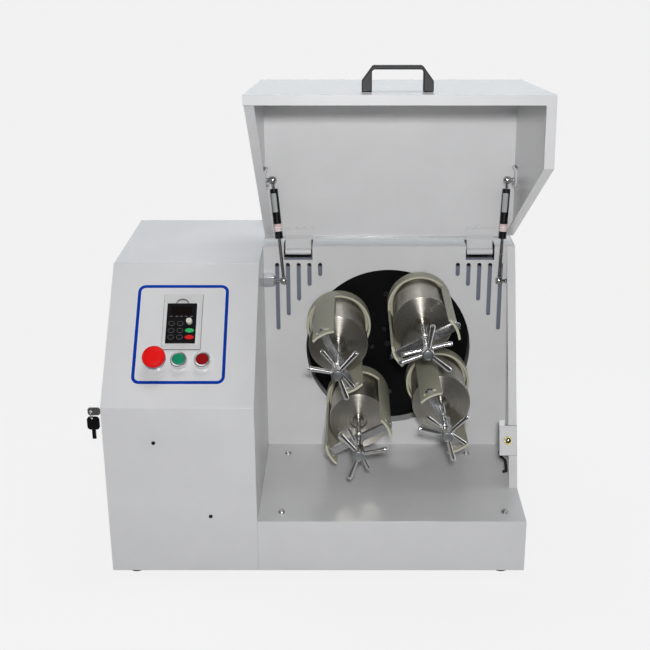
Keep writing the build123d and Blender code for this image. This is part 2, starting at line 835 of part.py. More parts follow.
with BuildPart() as strut_lid_studs:
    for side in (-1, 1):
        low, high = strut_ends(side)
        wall = lid_left + sheet if side < 0 else right - sheet
        with BuildSketch(cross_plane(Vector(wall, high.Y, high.Z))):
            with Locations((-lid_bracket_shift, lid_bracket_shift)):
                Rectangle(*lid_bracket_size)
        extrude(amount=-side * lid_bracket_thickness)
        with BuildSketch(cross_plane(Vector(wall, high.Y, high.Z))):
            Circle(stud_radius)
        extrude(amount=-side * (abs(high.X - wall) - socket_radius - stud_gap))
keep(strut_lid_studs.part, "strut_lid_studs")


# Rotor: places along the axis, from the front to the back
carrier_front = panel_front + carrier_setback
carrier_back = carrier_front + carrier_thickness
boss_start = carrier_front - boss_front
boss_end = carrier_front + boss_back
gear_front = boss_end + gear_gap
gear_back = gear_front + gear_width
housing_front = gear_back
housing_end = housing_front + plate_thickness * 2 + housing_length
pulley_front = front + pulley_setback
planets = ("upper_right", "upper_left", "lower_left", "lower_right")
arm_angles = (27.0, 117.0, 27.0, 117.0)
wheel_angles = (81.0, 49.0, 11.0, 45.0)
nut_angles = (14.0, 129.0, 115.0, 143.0)


def planet_angle(i):
    return 45 + planet_lead + 90 * i


def planet_centre(i):
    angle = radians(planet_angle(i))
    return chamber_middle + planet_circle * cos(angle), rotor_z + planet_circle * sin(angle)


def gear_points(teeth):
    # Polar points of one tooth's right-hand flank: root, start, middle and tip
    pitch = gear_module * teeth / 2
    lean = radians(pressure_angle)
    base_radius = pitch * cos(lean)
    offset = pi / (2 * teeth) - backlash / (4 * pitch) + tan(lean) - lean
    root = pitch - 1.25 * gear_module
    start = max(base_radius, root + 0.2)
    tip = pitch + gear_module
    points = []
    for radius in (start, (start + 2 * tip) / 3, tip):
        roll = sqrt(max(0.0, (radius / base_radius) ** 2 - 1))
        points.append((radius, offset - (roll - atan2(roll, 1))))
    return root, points


def gear_outline(teeth, phase):
    # Closed outline of a spur gear, one tooth centred on the phase angle
    root, flank = gear_points(teeth)

    def spot(radius, angle):
        return radius * cos(angle), radius * sin(angle)

    with BuildLine() as outline:
        for i in range(teeth):
            middle = radians(phase) + 2 * pi * i / teeth
            after = middle + pi / teeth
            rising = [spot(r, middle - a) for r, a in flank]
            falling = [spot(r, middle + a) for r, a in flank[::-1]]
            low_angle = flank[0][1]
            Line(spot(root, middle - low_angle), rising[0])
            ThreePointArc(*rising)
            Line(rising[-1], falling[0])
            ThreePointArc(*falling)
            Line(falling[-1], spot(root, middle + low_angle))
            Line(spot(root, middle + low_angle), spot(root, after + pi / teeth - low_angle))
    return outline.edges()


# Carrier disc with a bearing boss for each planet
with BuildPart() as carrier_disk:
    with BuildSketch(axial_plane(chamber_middle, carrier_front, rotor_z)):
        Circle(carrier_radius)
    extrude(amount=-carrier_thickness)
    for i in range(4):
        x, z = planet_centre(i)
        with BuildSketch(axial_plane(x, boss_start, z)):
            Circle(boss_radius)
        extrude(amount=-(boss_end - boss_start))
        with BuildSketch(axial_plane(x, boss_start, z)):
            Circle(bearing_outer - bearing_shoulder)
        extrude(amount=-(boss_end - boss_start), mode=Mode.SUBTRACT)
        for y in (boss_start, boss_end - bearing_width):
            with BuildSketch(axial_plane(x, y, z)):
                Circle(bearing_outer)
            extrude(amount=-bearing_width, mode=Mode.SUBTRACT)
    with BuildSketch(axial_plane(chamber_middle, carrier_front, rotor_z)):
        Circle(nose_radius)
        with PolarLocations(balance_circle, 4, start_angle=planet_lead / 6):
            Circle(balance_bolt_radius + 2 * running_gap)
    extrude(amount=-carrier_thickness, mode=Mode.SUBTRACT)
keep(carrier_disk.part, "carrier_disk")

# Main shaft, flanged to the back of the disc, with its nose in the disc's centre
with BuildPart() as main_shaft:
    with BuildSketch(axial_plane(chamber_middle, carrier_back, rotor_z)):
        Circle(shaft_flange_radius)
    extrude(amount=-shaft_flange_thickness)
    with BuildSketch(axial_plane(chamber_middle, carrier_back, rotor_z)):
        Circle(shaft_radius)
    extrude(amount=-(pulley_front + pulley_width + shaft_end - carrier_back))
    with BuildSketch(axial_plane(chamber_middle, carrier_front, rotor_z)):
        Circle(nose_radius)
    extrude(amount=-carrier_thickness)
keep(main_shaft.part, "main_shaft")

# Bolts in the face of the disc: four balance bolts, four in the shaft's flange and one in its nose
with BuildPart() as disk_bolts:
    with BuildSketch(axial_plane(chamber_middle, carrier_front, rotor_z)):
        with PolarLocations(balance_circle, 4, start_angle=planet_lead / 6):
            RegularPolygon(disk_bolt_heads[0], 6)
        with PolarLocations(flange_bolt_circle, 4, start_angle=planet_lead):
            RegularPolygon(disk_bolt_heads[1], 6)
        RegularPolygon(disk_bolt_heads[2], 6)
    extrude(amount=disk_bolt_rise)
    with BuildSketch(axial_plane(chamber_middle, carrier_front, rotor_z)):
        with PolarLocations(balance_circle, 4, start_angle=planet_lead / 6):
            Circle(balance_bolt_radius)
    extrude(amount=-carrier_thickness - sheet)
keep(disk_bolts.part, "disk_bolts")

# Ball bearings of the planets, two in each boss
with BuildPart() as planet_bearings:
    for i in range(4):
        x, z = planet_centre(i)
        for y in (boss_start, boss_end - bearing_width):
            with BuildSketch(axial_plane(x, y, z)):
                Circle(bearing_outer)
                Circle(spindle_radius + running_gap, mode=Mode.SUBTRACT)
            extrude(amount=-bearing_width)
keep(planet_bearings.part, "planet_bearings")

# Sun gear, fixed to the front of the bearing housing
sun_outline = gear_outline(sun_teeth, 0)
with BuildPart() as sun_gear:
    with BuildSketch(axial_plane(chamber_middle, gear_front, rotor_z)):
        make_face(sun_outline)
        Circle(shaft_radius + 4, mode=Mode.SUBTRACT)
    extrude(amount=-gear_width)
keep(sun_gear.part, "sun_gear")

# Bearing housing on the drive's cross plate
with BuildPart() as bearing_housing:
    with BuildSketch(axial_plane(chamber_middle, housing_front, rotor_z)):
        Circle(housing_radius + housing_flange)
    extrude(amount=-plate_thickness)
    with BuildSketch(axial_plane(0, housing_front + plate_thickness, 0)):
        with Locations((panel_middle, (plate_top + top - cross_plate_drop) / 2)):
            Rectangle(right - 2 * sheet - chamber_left, top - cross_plate_drop - plate_top)
    extrude(amount=-plate_thickness)
    with BuildSketch(axial_plane(chamber_middle, housing_front, rotor_z)):
        Circle(housing_radius)
    extrude(amount=-(housing_end - housing_front))
    with BuildSketch(axial_plane(chamber_middle, housing_front, rotor_z)):
        Circle(shaft_radius + running_gap)
    extrude(amount=-(housing_end - housing_front), mode=Mode.SUBTRACT)
keep(bearing_housing.part, "bearing_housing")

# Belt drive behind the rotor
motor_x = left + motor_inset
motor_z = floor + motor_height
motor_back = housing_front + plate_thickness * 2 + motor_gap
rim = (pulley_width - belt_width) / 2 - groove_play
rim_back = pulley_front + pulley_width - rim
with BuildPart() as main_pulley:
    with BuildSketch(axial_plane(chamber_middle, pulley_front, rotor_z)):
        Circle(pulley_radius - groove_depth)
        Circle(shaft_radius, mode=Mode.SUBTRACT)
        with PolarLocations(pulley_hole_circle, 5):
            Circle(pulley_hole_radius, mode=Mode.SUBTRACT)
    extrude(amount=-pulley_width)
    for y in (pulley_front, rim_back):
        with BuildSketch(axial_plane(chamber_middle, y, rotor_z)):
            Circle(pulley_radius)
            Circle(pulley_radius - 2 * groove_depth, mode=Mode.SUBTRACT)
        extrude(amount=-rim)
keep(main_pulley.part, "main_pulley")

with BuildPart() as motor_pulley:
    with BuildSketch(axial_plane(motor_x, pulley_front, motor_z)):
        Circle(motor_pulley_radius - groove_depth)
    extrude(amount=-pulley_width)
    for y in (pulley_front, rim_back):
        with BuildSketch(axial_plane(motor_x, y, motor_z)):
            Circle(motor_pulley_radius)
        extrude(amount=-rim)
    with BuildSketch(axial_plane(motor_x, motor_back - motor_shaft_sunk, motor_z)):
        Circle(motor_shaft_radius)
    extrude(amount=-(pulley_front + pulley_width + shaft_end - motor_back + motor_shaft_sunk))
keep(motor_pulley.part, "motor_pulley")


def belt_loop(growth):
    # Closed loop round both pulleys, grown outwards from their grooves
    far = pulley_radius - groove_depth + growth
    near = motor_pulley_radius - groove_depth + growth
    run = hypot(chamber_middle - motor_x, rotor_z - motor_z)
    heading = atan2(rotor_z - motor_z, chamber_middle - motor_x)
    spread = acos((near - far) / run)

    def spot(centre, radius, angle):
        return centre[0] + radius * cos(angle), centre[1] + radius * sin(angle)

    motor_centre = (motor_x, motor_z)
    shaft_centre = (chamber_middle, rotor_z)
    upper = [spot(motor_centre, near, heading + spread), spot(shaft_centre, far, heading + spread)]
    lower = [spot(shaft_centre, far, heading - spread), spot(motor_centre, near, heading - spread)]
    with BuildLine() as loop:
        Line(*upper)
        ThreePointArc(upper[1], spot(shaft_centre, far, heading), lower[0])
        Line(*lower)
        ThreePointArc(lower[1], spot(motor_centre, near, heading + pi), upper[0])
    return loop.edges()


belt_outer = belt_loop(running_gap + belt_thickness)
belt_inner = belt_loop(running_gap)
with BuildPart() as drive_belt:
    with BuildSketch(axial_plane(0, pulley_front + (pulley_width - belt_width) / 2, 0)):
        make_face(belt_outer)
        make_face(belt_inner, mode=Mode.SUBTRACT)
    extrude(amount=-belt_width)
keep(drive_belt.part, "drive_belt")

# Motor with cooling fins, terminal box and foot
with BuildPart() as drive_motor:
    motor_front = motor_back - motor_length
    with BuildSketch(axial_plane(motor_x, motor_front, motor_z)):
        Circle(motor_radius - motor_rib)
    extrude(amount=-motor_length)
    with BuildSketch(axial_plane(motor_x, motor_front + rib_span[0], motor_z)):
        with PolarLocations(motor_radius - motor_rib, motor_ribs):
            Rectangle(*rib_size)
        Circle(motor_radius - motor_rib - 2)
    extrude(amount=-rib_span[1])
    for y, length in ((motor_front, cap_lengths[0]), (motor_back - cap_lengths[1], cap_lengths[1])):
        with BuildSketch(axial_plane(motor_x, y, motor_z)):
            Circle(motor_radius)
        extrude(amount=-length)
    foot_top = motor_z - motor_foot_overlap
    with BuildSketch(axial_plane(motor_x, motor_front + motor_foot_span[0], (plate_top + foot_top) / 2)):
        Rectangle(motor_foot_width, foot_top - plate_top)
    extrude(amount=-motor_foot_span[1])
    with BuildSketch(Plane((motor_x, motor_front + terminal_place, motor_z + motor_radius - terminal_sunk))):
        Rectangle(terminal_box[0], terminal_box[1])
    extrude(amount=terminal_box[2])
    with BuildSketch(axial_plane(motor_x, motor_back, motor_z)):
        Circle(motor_shaft_radius + running_gap)
    extrude(amount=motor_shaft_sunk + 1, mode=Mode.SUBTRACT)
keep(drive_motor.part, "drive_motor")

# Planets: places along the axis of a jar and its clamp
holder_back = panel_front - holder_panel_gap
holder_front = holder_back - holder_depth
arm_end = holder_front - arm_length
slot_arm_height = bar_thickness + slot_play
bar_front = arm_end + slot_arm_setback - slot_arm_height / 2
jar_back = holder_back - holder_floor
jar_front = jar_back - jar_length
lid_front = jar_front - jar_lid_thickness
dome_front = lid_front - dome_height
hub_back = bar_front - wheel_standoff
nut_back = bar_front - nut_standoff


def rod_sketch(radius, reach):
    # Half outline of a rod with a rounded end, for a revolve about its length
    Rectangle(reach - radius, radius, align=(Align.MIN, Align.MIN))
    with Locations((reach - radius, 0)):
        Circle(radius)
    with Locations((-radius, 0)):
        Rectangle(reach + 3 * radius, 2 * radius, align=(Align.MIN, Align.MAX), mode=Mode.SUBTRACT)


for i, place in enumerate(planets):
    x, z = planet_centre(i)
    sun_pitch = 360 / sun_teeth
    ahead = radians(round(planet_angle(i) / sun_pitch) * sun_pitch - planet_angle(i))
    mesh = -(sun_teeth * ahead + pi) / planet_teeth
    planet_outline = gear_outline(planet_teeth, planet_angle(i) + 180 + degrees(mesh))

    with BuildPart() as jar_holder:
        with BuildSketch(axial_plane(x, jar_back, z)):
            Circle(holder_radius)
        extrude(amount=-holder_floor)
        with BuildSketch(axial_plane(x, holder_front, z)):
            Circle(holder_radius)
            Circle(holder_radius - holder_wall, mode=Mode.SUBTRACT)
        extrude(amount=-(holder_depth - holder_floor))
        with BuildSketch(axial_plane(x, jar_back - jar_seat_height, z)):
            Circle(jar_radius + holder_wall)
            Circle(jar_radius + jar_clearance, mode=Mode.SUBTRACT)
        extrude(amount=-jar_seat_height)
        with BuildSketch(axial_plane(x, arm_end, z)):
            Circle(holder_radius)
            Circle(holder_radius - holder_wall, mode=Mode.SUBTRACT)
            Rectangle(3 * holder_radius, arm_width, rotation=arm_angles[i], mode=Mode.INTERSECT)
        extrude(amount=-arm_length)
        with BuildSketch(axial_plane(x, bar_front, z)):
            Rectangle(3 * holder_radius, slot_arm_width, rotation=arm_angles[i])
        extrude(amount=-slot_arm_height, mode=Mode.SUBTRACT)
        with BuildSketch(axial_plane(x, holder_back, z)):
            Circle(neck_radius)
        extrude(amount=-(boss_start - holder_back))
        with BuildSketch(axial_plane(x, boss_start, z)):
            Circle(spindle_radius)
        extrude(amount=-(gear_back - boss_start))
        with BuildSketch(axial_plane(x, gear_front, z)):
            with Locations((0, 0)):
                add(make_face(planet_outline, mode=Mode.PRIVATE))
        extrude(amount=-gear_width)
    keep(jar_holder.part, f"{place}_jar_holder")

    with BuildPart() as grinding_jar:
        with BuildSketch(axial_plane(x, jar_front, z)):
            Circle(jar_radius)
        extrude(amount=-jar_length)
        with BuildSketch(axial_plane(x, jar_front, z)):
            Circle(jar_radius - jar_wall)
        extrude(amount=-(jar_length - jar_wall), mode=Mode.SUBTRACT)
    with BuildPart() as jar_lid:
        with BuildSketch(axial_plane(x, lid_front, z)):
            Circle(jar_lid_radius)
        extrude(amount=-jar_lid_thickness)
        with BuildSketch(axial_plane(x, jar_front, z)):
            Circle(jar_radius - jar_wall - jar_clearance)
        extrude(amount=-spigot_length)
        with BuildSketch(axial_plane(x, lid_front, z)):
            Circle(dome_radius + dome_groove[0])
            Circle(dome_radius, mode=Mode.SUBTRACT)
        extrude(amount=-dome_groove[1], mode=Mode.SUBTRACT)
        with BuildSketch(axial_plane(x, lid_front, z)):
            Circle(dome_radius)
        extrude(amount=dome_height, taper=dome_taper)
    keep(Compound(children=[grinding_jar.part, jar_lid.part]), f"{place}_grinding_jar")

    with BuildPart() as clamp_bar:
        with BuildSketch(axial_plane(x, bar_front, z)):
            Rectangle(2 * (holder_radius + bar_overhang), bar_width, rotation=arm_angles[i])
            Circle(bar_eye)
            Circle(screw_radius + running_gap, mode=Mode.SUBTRACT)
        extrude(amount=-bar_thickness)
        with BuildSketch(axial_plane(x, bar_front + (bar_thickness - bar_lip[0]) / 2, z)):
            Rectangle(2 * (holder_radius + 2 * bar_overhang), bar_lip[0], rotation=arm_angles[i])
            Rectangle(2 * holder_radius, 2 * bar_lip[1], rotation=arm_angles[i], mode=Mode.SUBTRACT)
        extrude(amount=-bar_lip[0])
    keep(clamp_bar.part, f"{place}_clamp_bar")

    with BuildPart() as handwheel:
        with BuildSketch(axial_plane(x, hub_back, z)):
            Circle(wheel_hub_radius)
        extrude(amount=wheel_hub_length)
        chamfer(handwheel.edges().filter_by(GeomType.CIRCLE), hub_chamfer)
        with BuildSketch(axial_plane(x, hub_back, z)):
            Circle(screw_radius)
        extrude(amount=-(dome_front - contact_gap - hub_back))
        for turn in (0, 120, 240):
            angle = radians(wheel_angles[i] + turn)
            heading = Vector(cos(angle), 0, sin(angle))
            with BuildSketch(Plane(origin=(x, hub_back - wheel_hub_length / 2, z), x_dir=heading,
                                   z_dir=heading.cross(Vector(0, 1, 0)))):
                rod_sketch(spoke_radius, wheel_reach)
            revolve(axis=Axis((x, hub_back - wheel_hub_length / 2, z), heading))
    keep(handwheel.part, f"{place}_handwheel")

    with BuildPart() as lock_bar:
        with BuildSketch(axial_plane(x, nut_back, z)):
            Circle(nut_radius)
        extrude(amount=nut_length)
        for turn in (0, 180):
            angle = radians(nut_angles[i] + turn)
            heading = Vector(cos(angle), 0, sin(angle))
            with BuildSketch(Plane(origin=(x, nut_back - nut_length / 2, z), x_dir=heading,
                                   z_dir=heading.cross(Vector(0, 1, 0)))):
                rod_sketch(nut_rod_radius, nut_reach)
            revolve(axis=Axis((x, nut_back - nut_length / 2, z), heading))
        with BuildSketch(axial_plane(x, nut_back, z)):
            Circle(screw_radius + running_gap)
        extrude(amount=nut_length, mode=Mode.SUBTRACT)
    keep(lock_bar.part, f"{place}_lock_bar")

# Switches on the sloping face: fixed collars with barrels, and the parts that move in them
collar_inner = stem_radius + running_gap
bezel_ring = (bezel_radius, bezel_floor)
collars = ((estop_inset, *estop_collar), (start_inset, *bezel_ring), (stop_inset, *bezel_ring))
with BuildPart() as switch_collars:
    for across, outer, rise in collars:
        with BuildSketch(slope_plane(across, control_height)):
            Circle(outer)
            Circle(collar_inner, mode=Mode.SUBTRACT)
        extrude(amount=rise)
        with BuildSketch(slope_plane(across, control_height)):
            Circle(barrel_hole_radius)
            Circle(collar_inner, mode=Mode.SUBTRACT)
        extrude(amount=-barrel_depth)
    for across in (start_inset, stop_inset):
        with BuildSketch(slope_plane(across, control_height)):
            Circle(bezel_radius)
            Circle(button_radius + button_gap, mode=Mode.SUBTRACT)
        extrude(amount=bezel_rise)
keep(switch_collars.part, "switch_collars")

slope_out = Axis((0, 0, 0), slope_plane(0, 0).z_dir)
with BuildPart() as estop_head:
    with BuildSketch(slope_plane(estop_inset, control_height, estop_rise)):
        Circle(estop_radius)
    extrude(amount=estop_thickness)
    fillet(estop_head.faces().sort_by(slope_out)[-1].edges(), estop_round)
    with BuildSketch(slope_plane(estop_inset, control_height, -stem_depth)):
        Circle(stem_radius)
    extrude(amount=stem_depth + estop_rise + 1)
keep(estop_head.part, "estop_head")

for name, across in (("start_button", start_inset), ("stop_button", stop_inset)):
    with BuildPart() as button:
        with BuildSketch(slope_plane(across, control_height, button_rise)):
            Circle(button_radius)
        extrude(amount=button_thickness)
        chamfer(button.faces().sort_by(slope_out)[-1].edges(), button_chamfer)
        with BuildSketch(slope_plane(across, control_height, -stem_depth)):
            Circle(stem_radius)
        extrude(amount=stem_depth + button_rise + 1)
    keep(button.part, name)

# Keypad in its frame, with the hole for the speed knob's shaft
key_places = right_keys + tuple((across, up) for across in key_columns for up in key_rows)
knob_radius_in, knob_sunk = knob_shaft
with BuildPart() as keypad_frame:
    with BuildSketch(slope_plane(keypad_inset + keypad_frame_shift, keypad_frame_height)):
        Rectangle(*keypad_frame_size)
        with Locations((-keypad_frame_shift, keypad_height - keypad_frame_height)):
            Rectangle(keypad_size[0] + 2 * sheet_gap, keypad_size[1] + 2 * sheet_gap, mode=Mode.SUBTRACT)
        with Locations((-finger_notch_shift, keypad_height + keypad_size[1] / 2 - keypad_frame_height)):
            Circle(finger_notch_radius, mode=Mode.SUBTRACT)
    extrude(amount=keypad_frame_thickness)
with BuildPart() as keypad:
    with BuildSketch(slope_plane(keypad_inset, keypad_height, keypad_rise)):
        Rectangle(*keypad_size)
    extrude(amount=-keypad_depth)
    with BuildSketch(slope_plane(keypad_inset, keypad_height + display_rise, keypad_rise)):
        Rectangle(keypad_size[0] - 2 * display_margin, display_height)
    extrude(amount=-1, mode=Mode.SUBTRACT)
    for across, up in key_places:
        with BuildSketch(slope_plane(across, up, keypad_rise)):
            SlotOverall(*key_size)
        extrude(amount=key_rise)
    with BuildSketch(slope_plane(*knob_place, keypad_rise)):
        Circle(knob_radius_in + running_gap)
    extrude(amount=-keypad_rise - knob_sunk - 1, mode=Mode.SUBTRACT)
keep(Compound(children=[keypad_frame.part, keypad.part]), "keypad")

with BuildPart() as speed_knob:
    with BuildSketch(slope_plane(*knob_place, keypad_rise + sheet_gap)):
        Circle(knob_radius)
        with Locations((0, knob_radius)):
            Circle(knob_dimple, mode=Mode.SUBTRACT)
    extrude(amount=knob_height)
    with BuildSketch(slope_plane(*knob_place, -knob_sunk)):
        Circle(knob_radius_in)
    extrude(amount=knob_sunk + keypad_rise + 1)
keep(speed_knob.part, "speed_knob")


def flange_plane(inset, up, rise=0.0):
    # Plane on the right wall's sloping flange, looking out at the shut lid
    lean = atan2(wall_lean, 1)
    outward = Vector(0, -cos(lean), sin(lean))
    along = Vector(0, sin(lean), cos(lean))
    corner = Vector(right - inset, front + wall_foot_depth, tray_top)
    return Plane(origin=corner + along * up + outward * rise, x_dir=(1, 0, 0), z_dir=outward)


# Lid interlock: box, guide block and hooked lever, and the sprung plunger in its face
box_inset = sheet + interlock_width / 2
box_up = interlock_rise + interlock_length / 2
with BuildPart() as interlock_box:
    with BuildSketch(flange_plane(box_inset, box_up)):
        Rectangle(interlock_width, interlock_length)
    extrude(amount=interlock_thickness)
    guide_up = box_up + interlock_length / 2 + guide_size[1] / 2 - 1
    with BuildSketch(flange_plane(box_inset + guide_shift, guide_up, 1)):
        Rectangle(guide_size[0], guide_size[1])
    extrude(amount=guide_size[2])
    with BuildSketch(flange_plane(box_inset, box_up - interlock_length / 2)):
        Polygon(*bent_sheet(list(lever_path), lever_width), align=None)
    extrude(amount=lever_thickness)
    with BuildSketch(flange_plane(box_inset, box_up, interlock_thickness)):
        Circle(plunger_radius + running_gap)
    extrude(amount=-plunger_well, mode=Mode.SUBTRACT)
keep(interlock_box.part, "interlock_box")

with BuildPart() as interlock_plunger:
    with BuildSketch(flange_plane(box_inset, box_up, interlock_thickness + plunger_rise)):
        Circle(plunger_radius)
        Rectangle(*plunger_slot, rotation=45, mode=Mode.SUBTRACT)
    extrude(amount=-plunger_rise - plunger_length)
    with BuildSketch(flange_plane(box_inset, box_up, interlock_thickness)):
        Circle(plunger_radius)
    extrude(amount=-plunger_length)
keep(interlock_plunger.part, "interlock_plunger")
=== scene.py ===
import json
import math
import bpy
import bmesh
from mathutils import Matrix, Vector


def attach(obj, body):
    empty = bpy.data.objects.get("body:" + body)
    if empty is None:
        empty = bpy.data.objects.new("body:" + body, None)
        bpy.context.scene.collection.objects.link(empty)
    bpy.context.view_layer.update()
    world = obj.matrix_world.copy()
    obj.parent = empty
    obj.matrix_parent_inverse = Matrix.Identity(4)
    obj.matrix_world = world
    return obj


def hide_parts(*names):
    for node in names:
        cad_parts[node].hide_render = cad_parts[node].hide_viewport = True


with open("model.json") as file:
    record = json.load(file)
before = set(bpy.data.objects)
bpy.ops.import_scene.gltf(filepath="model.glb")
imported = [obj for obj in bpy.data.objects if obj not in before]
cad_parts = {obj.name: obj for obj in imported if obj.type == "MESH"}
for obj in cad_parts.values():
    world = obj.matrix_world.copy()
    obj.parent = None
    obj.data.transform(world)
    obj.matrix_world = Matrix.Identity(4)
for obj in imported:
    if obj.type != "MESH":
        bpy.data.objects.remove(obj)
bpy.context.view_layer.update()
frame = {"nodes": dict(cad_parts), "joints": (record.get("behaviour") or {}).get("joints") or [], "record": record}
nodes = frame["nodes"]
mm = 0.001  # metres in a millimetre
perMetre = 1000  # millimetres in a metre
print("frame loaded:", len(nodes), "nodes")

# the shared frame in metres: x to the right, y to the back, z up from the bench
machine = {
    "left": -0.375, "right": 0.375, "front": -0.250, "fold": 0.334, "top": 0.534, "trayTop": 0.111,
    "chamberLeft": -0.109, "chamberMiddle": 0.133, "panelFront": 0.065, "rotorZ": 0.323, "planetReach": 0.114,
}
planets = {  # angle of each planet round the rotor, and of its clamp's arms
    "upper_right": (58.6, 27.0), "upper_left": (148.6, 117.0),
    "lower_left": (238.6, 27.0), "lower_right": (328.6, 117.0),
}


def startMaterial(name):
    mat = bpy.data.materials.new(name)
    mat.use_nodes = True
    tree = mat.node_tree
    shader = tree.nodes["Principled BSDF"]
    return mat, tree, shader


def addNode(tree, kind, **settings):
    node = tree.nodes.new(kind)
    for key, value in settings.items():
        if key in node.inputs:
            node.inputs[key].default_value = value
        else:
            setattr(node, key, value)
    return node


def objectPoints(tree, stretch=(1, 1, 1)):
    place = addNode(tree, "ShaderNodeTexCoord")
    scale = addNode(tree, "ShaderNodeMapping")
    scale.inputs["Scale"].default_value = stretch
    tree.links.new(place.outputs["Object"], scale.inputs["Vector"])
    return scale.outputs["Vector"]


def noiseOf(tree, points, scale, detail=3.0, roughness=0.5):
    noise = addNode(tree, "ShaderNodeTexNoise", Scale=scale, Detail=detail, Roughness=roughness)
    tree.links.new(points, noise.inputs["Vector"])
    return noise.outputs["Fac"]


def rampOf(tree, factor, stops):
    ramp = addNode(tree, "ShaderNodeValToRGB")
    band = ramp.color_ramp
    while len(band.elements) < len(stops):
        band.elements.new(0.5)
    for element, (place, colour) in zip(band.elements, stops):
        element.position = place
        element.color = (*colour, 1.0) if len(colour) == 3 else colour
    tree.links.new(factor, ramp.inputs["Fac"])
    return ramp.outputs["Color"]


def bumpOf(tree, shader, height, strength, distance):
    bump = addNode(tree, "ShaderNodeBump", Strength=strength, Distance=distance)
    tree.links.new(height, bump.inputs["Height"])
    tree.links.new(bump.outputs["Normal"], shader.inputs["Normal"])


def shade(colour, factor):
    return tuple(min(1.0, c * factor) for c in colour)


def greyRange(low, high):
    return [(0.3, (low, low, low)), (0.7, (high, high, high))]


def powderPaint(name, colour, roughness=0.42, grain=2600.0, depth=0.00008, mottle=0.03, specular=0.35):
    mat, tree, shader = startMaterial(name)
    points = objectPoints(tree)
    cloud = noiseOf(tree, points, 9.0, detail=4.0, roughness=0.6)
    tree.links.new(rampOf(tree, cloud, [(0.3, shade(colour, 1 - mottle)), (0.7, shade(colour, 1 + mottle))]),
                   shader.inputs["Base Color"])
    fine = noiseOf(tree, points, grain, detail=2.0, roughness=0.55)
    tree.links.new(rampOf(tree, fine, greyRange(roughness - 0.06, roughness + 0.08)), shader.inputs["Roughness"])
    bumpOf(tree, shader, fine, strength=0.35, distance=depth)
    shader.inputs["Specular IOR Level"].default_value = specular
    return mat


def drawnMetal(name, colour, roughness, stretch, scale=60.0, contrast=0.10, depth=0.00003):
    mat, tree, shader = startMaterial(name)
    grain = noiseOf(tree, objectPoints(tree, stretch), scale, detail=5.0, roughness=0.65)
    tree.links.new(rampOf(tree, grain, [(0.3, shade(colour, 1 - contrast)), (0.7, shade(colour, 1 + contrast))]),
                   shader.inputs["Base Color"])
    tree.links.new(rampOf(tree, grain, greyRange(roughness * 0.75, roughness * 1.3)), shader.inputs["Roughness"])
    bumpOf(tree, shader, grain, strength=0.2, distance=depth)
    shader.inputs["Metallic"].default_value = 1.0
    return mat


jarSteel = {
    "colour": (0.565, 0.54, 0.485), "roughness": 0.28, "grain": 2600.0, "grooves": 650.0,
    "anisotropic": 0.95, "rotation": 0.25,
}


def turnedMetal(name, look, centre):
    # lathe rings round an axis that runs along y through the centre
    colour, roughness = look["colour"], look["roughness"]
    mat, tree, shader = startMaterial(name)
    place = addNode(tree, "ShaderNodeTexCoord")
    shift = addNode(tree, "ShaderNodeVectorMath", operation="SUBTRACT")
    shift.inputs[1].default_value = (centre[0], 0.0, centre[1])
    flat = addNode(tree, "ShaderNodeVectorMath", operation="MULTIPLY")
    flat.inputs[1].default_value = (1.0, 0.0, 1.0)
    reach = addNode(tree, "ShaderNodeVectorMath", operation="LENGTH")
    parts = addNode(tree, "ShaderNodeSeparateXYZ")
    join = addNode(tree, "ShaderNodeCombineXYZ")
    tree.links.new(place.outputs["Object"], shift.inputs[0])
    tree.links.new(shift.outputs[0], flat.inputs[0])
    tree.links.new(flat.outputs[0], reach.inputs[0])
    tree.links.new(shift.outputs[0], parts.inputs[0])
    tree.links.new(reach.outputs["Value"], join.inputs["X"])
    tree.links.new(parts.outputs["Y"], join.inputs["Y"])
    grain = noiseOf(tree, join.outputs[0], look["grain"], detail=3.0, roughness=0.6)
    grooves = noiseOf(tree, join.outputs[0], look["grooves"], detail=2.0, roughness=0.6)
    tree.links.new(rampOf(tree, grooves, [(0.36, shade(colour, 0.85)), (0.60, shade(colour, 1.06))]),
                   shader.inputs["Base Color"])
    tree.links.new(rampOf(tree, grain, greyRange(roughness * 0.85, roughness * 1.2)), shader.inputs["Roughness"])
    bumpOf(tree, shader, grain, strength=0.12, distance=0.00002)
    shader.inputs["Metallic"].default_value = 1.0
    shader.inputs["Anisotropic"].default_value = look["anisotropic"]
    shader.inputs["Anisotropic Rotation"].default_value = look["rotation"]
    around = addNode(tree, "ShaderNodeTangent", direction_type="RADIAL", axis="Y")
    tree.links.new(around.outputs["Tangent"], shader.inputs["Tangent"])
    return mat


def polished(name, colour, roughness=0.08, wear=0.06):
    mat, tree, shader = startMaterial(name)
    cloud = noiseOf(tree, objectPoints(tree), 120.0, detail=4.0, roughness=0.6)
    tree.links.new(rampOf(tree, cloud, greyRange(roughness, roughness + wear)), shader.inputs["Roughness"])
    tree.links.new(rampOf(tree, cloud, [(0.3, shade(colour, 0.96)), (0.7, colour)]), shader.inputs["Base Color"])
    shader.inputs["Metallic"].default_value = 1.0
    return mat


def moulded(name, colour, roughness=0.4, grain=1800.0, depth=0.00003, specular=0.35):
    mat, tree, shader = startMaterial(name)
    points = objectPoints(tree)
    fine = noiseOf(tree, points, grain, detail=2.0, roughness=0.5)
    cloud = noiseOf(tree, points, 30.0, detail=3.0, roughness=0.5)
    tree.links.new(rampOf(tree, cloud, [(0.3, shade(colour, 0.93)), (0.7, shade(colour, 1.05))]),
                   shader.inputs["Base Color"])
    tree.links.new(rampOf(tree, fine, greyRange(roughness - 0.05, roughness + 0.07)), shader.inputs["Roughness"])
    bumpOf(tree, shader, fine, strength=0.2, distance=depth)
    shader.inputs["Specular IOR Level"].default_value = specular
    return mat


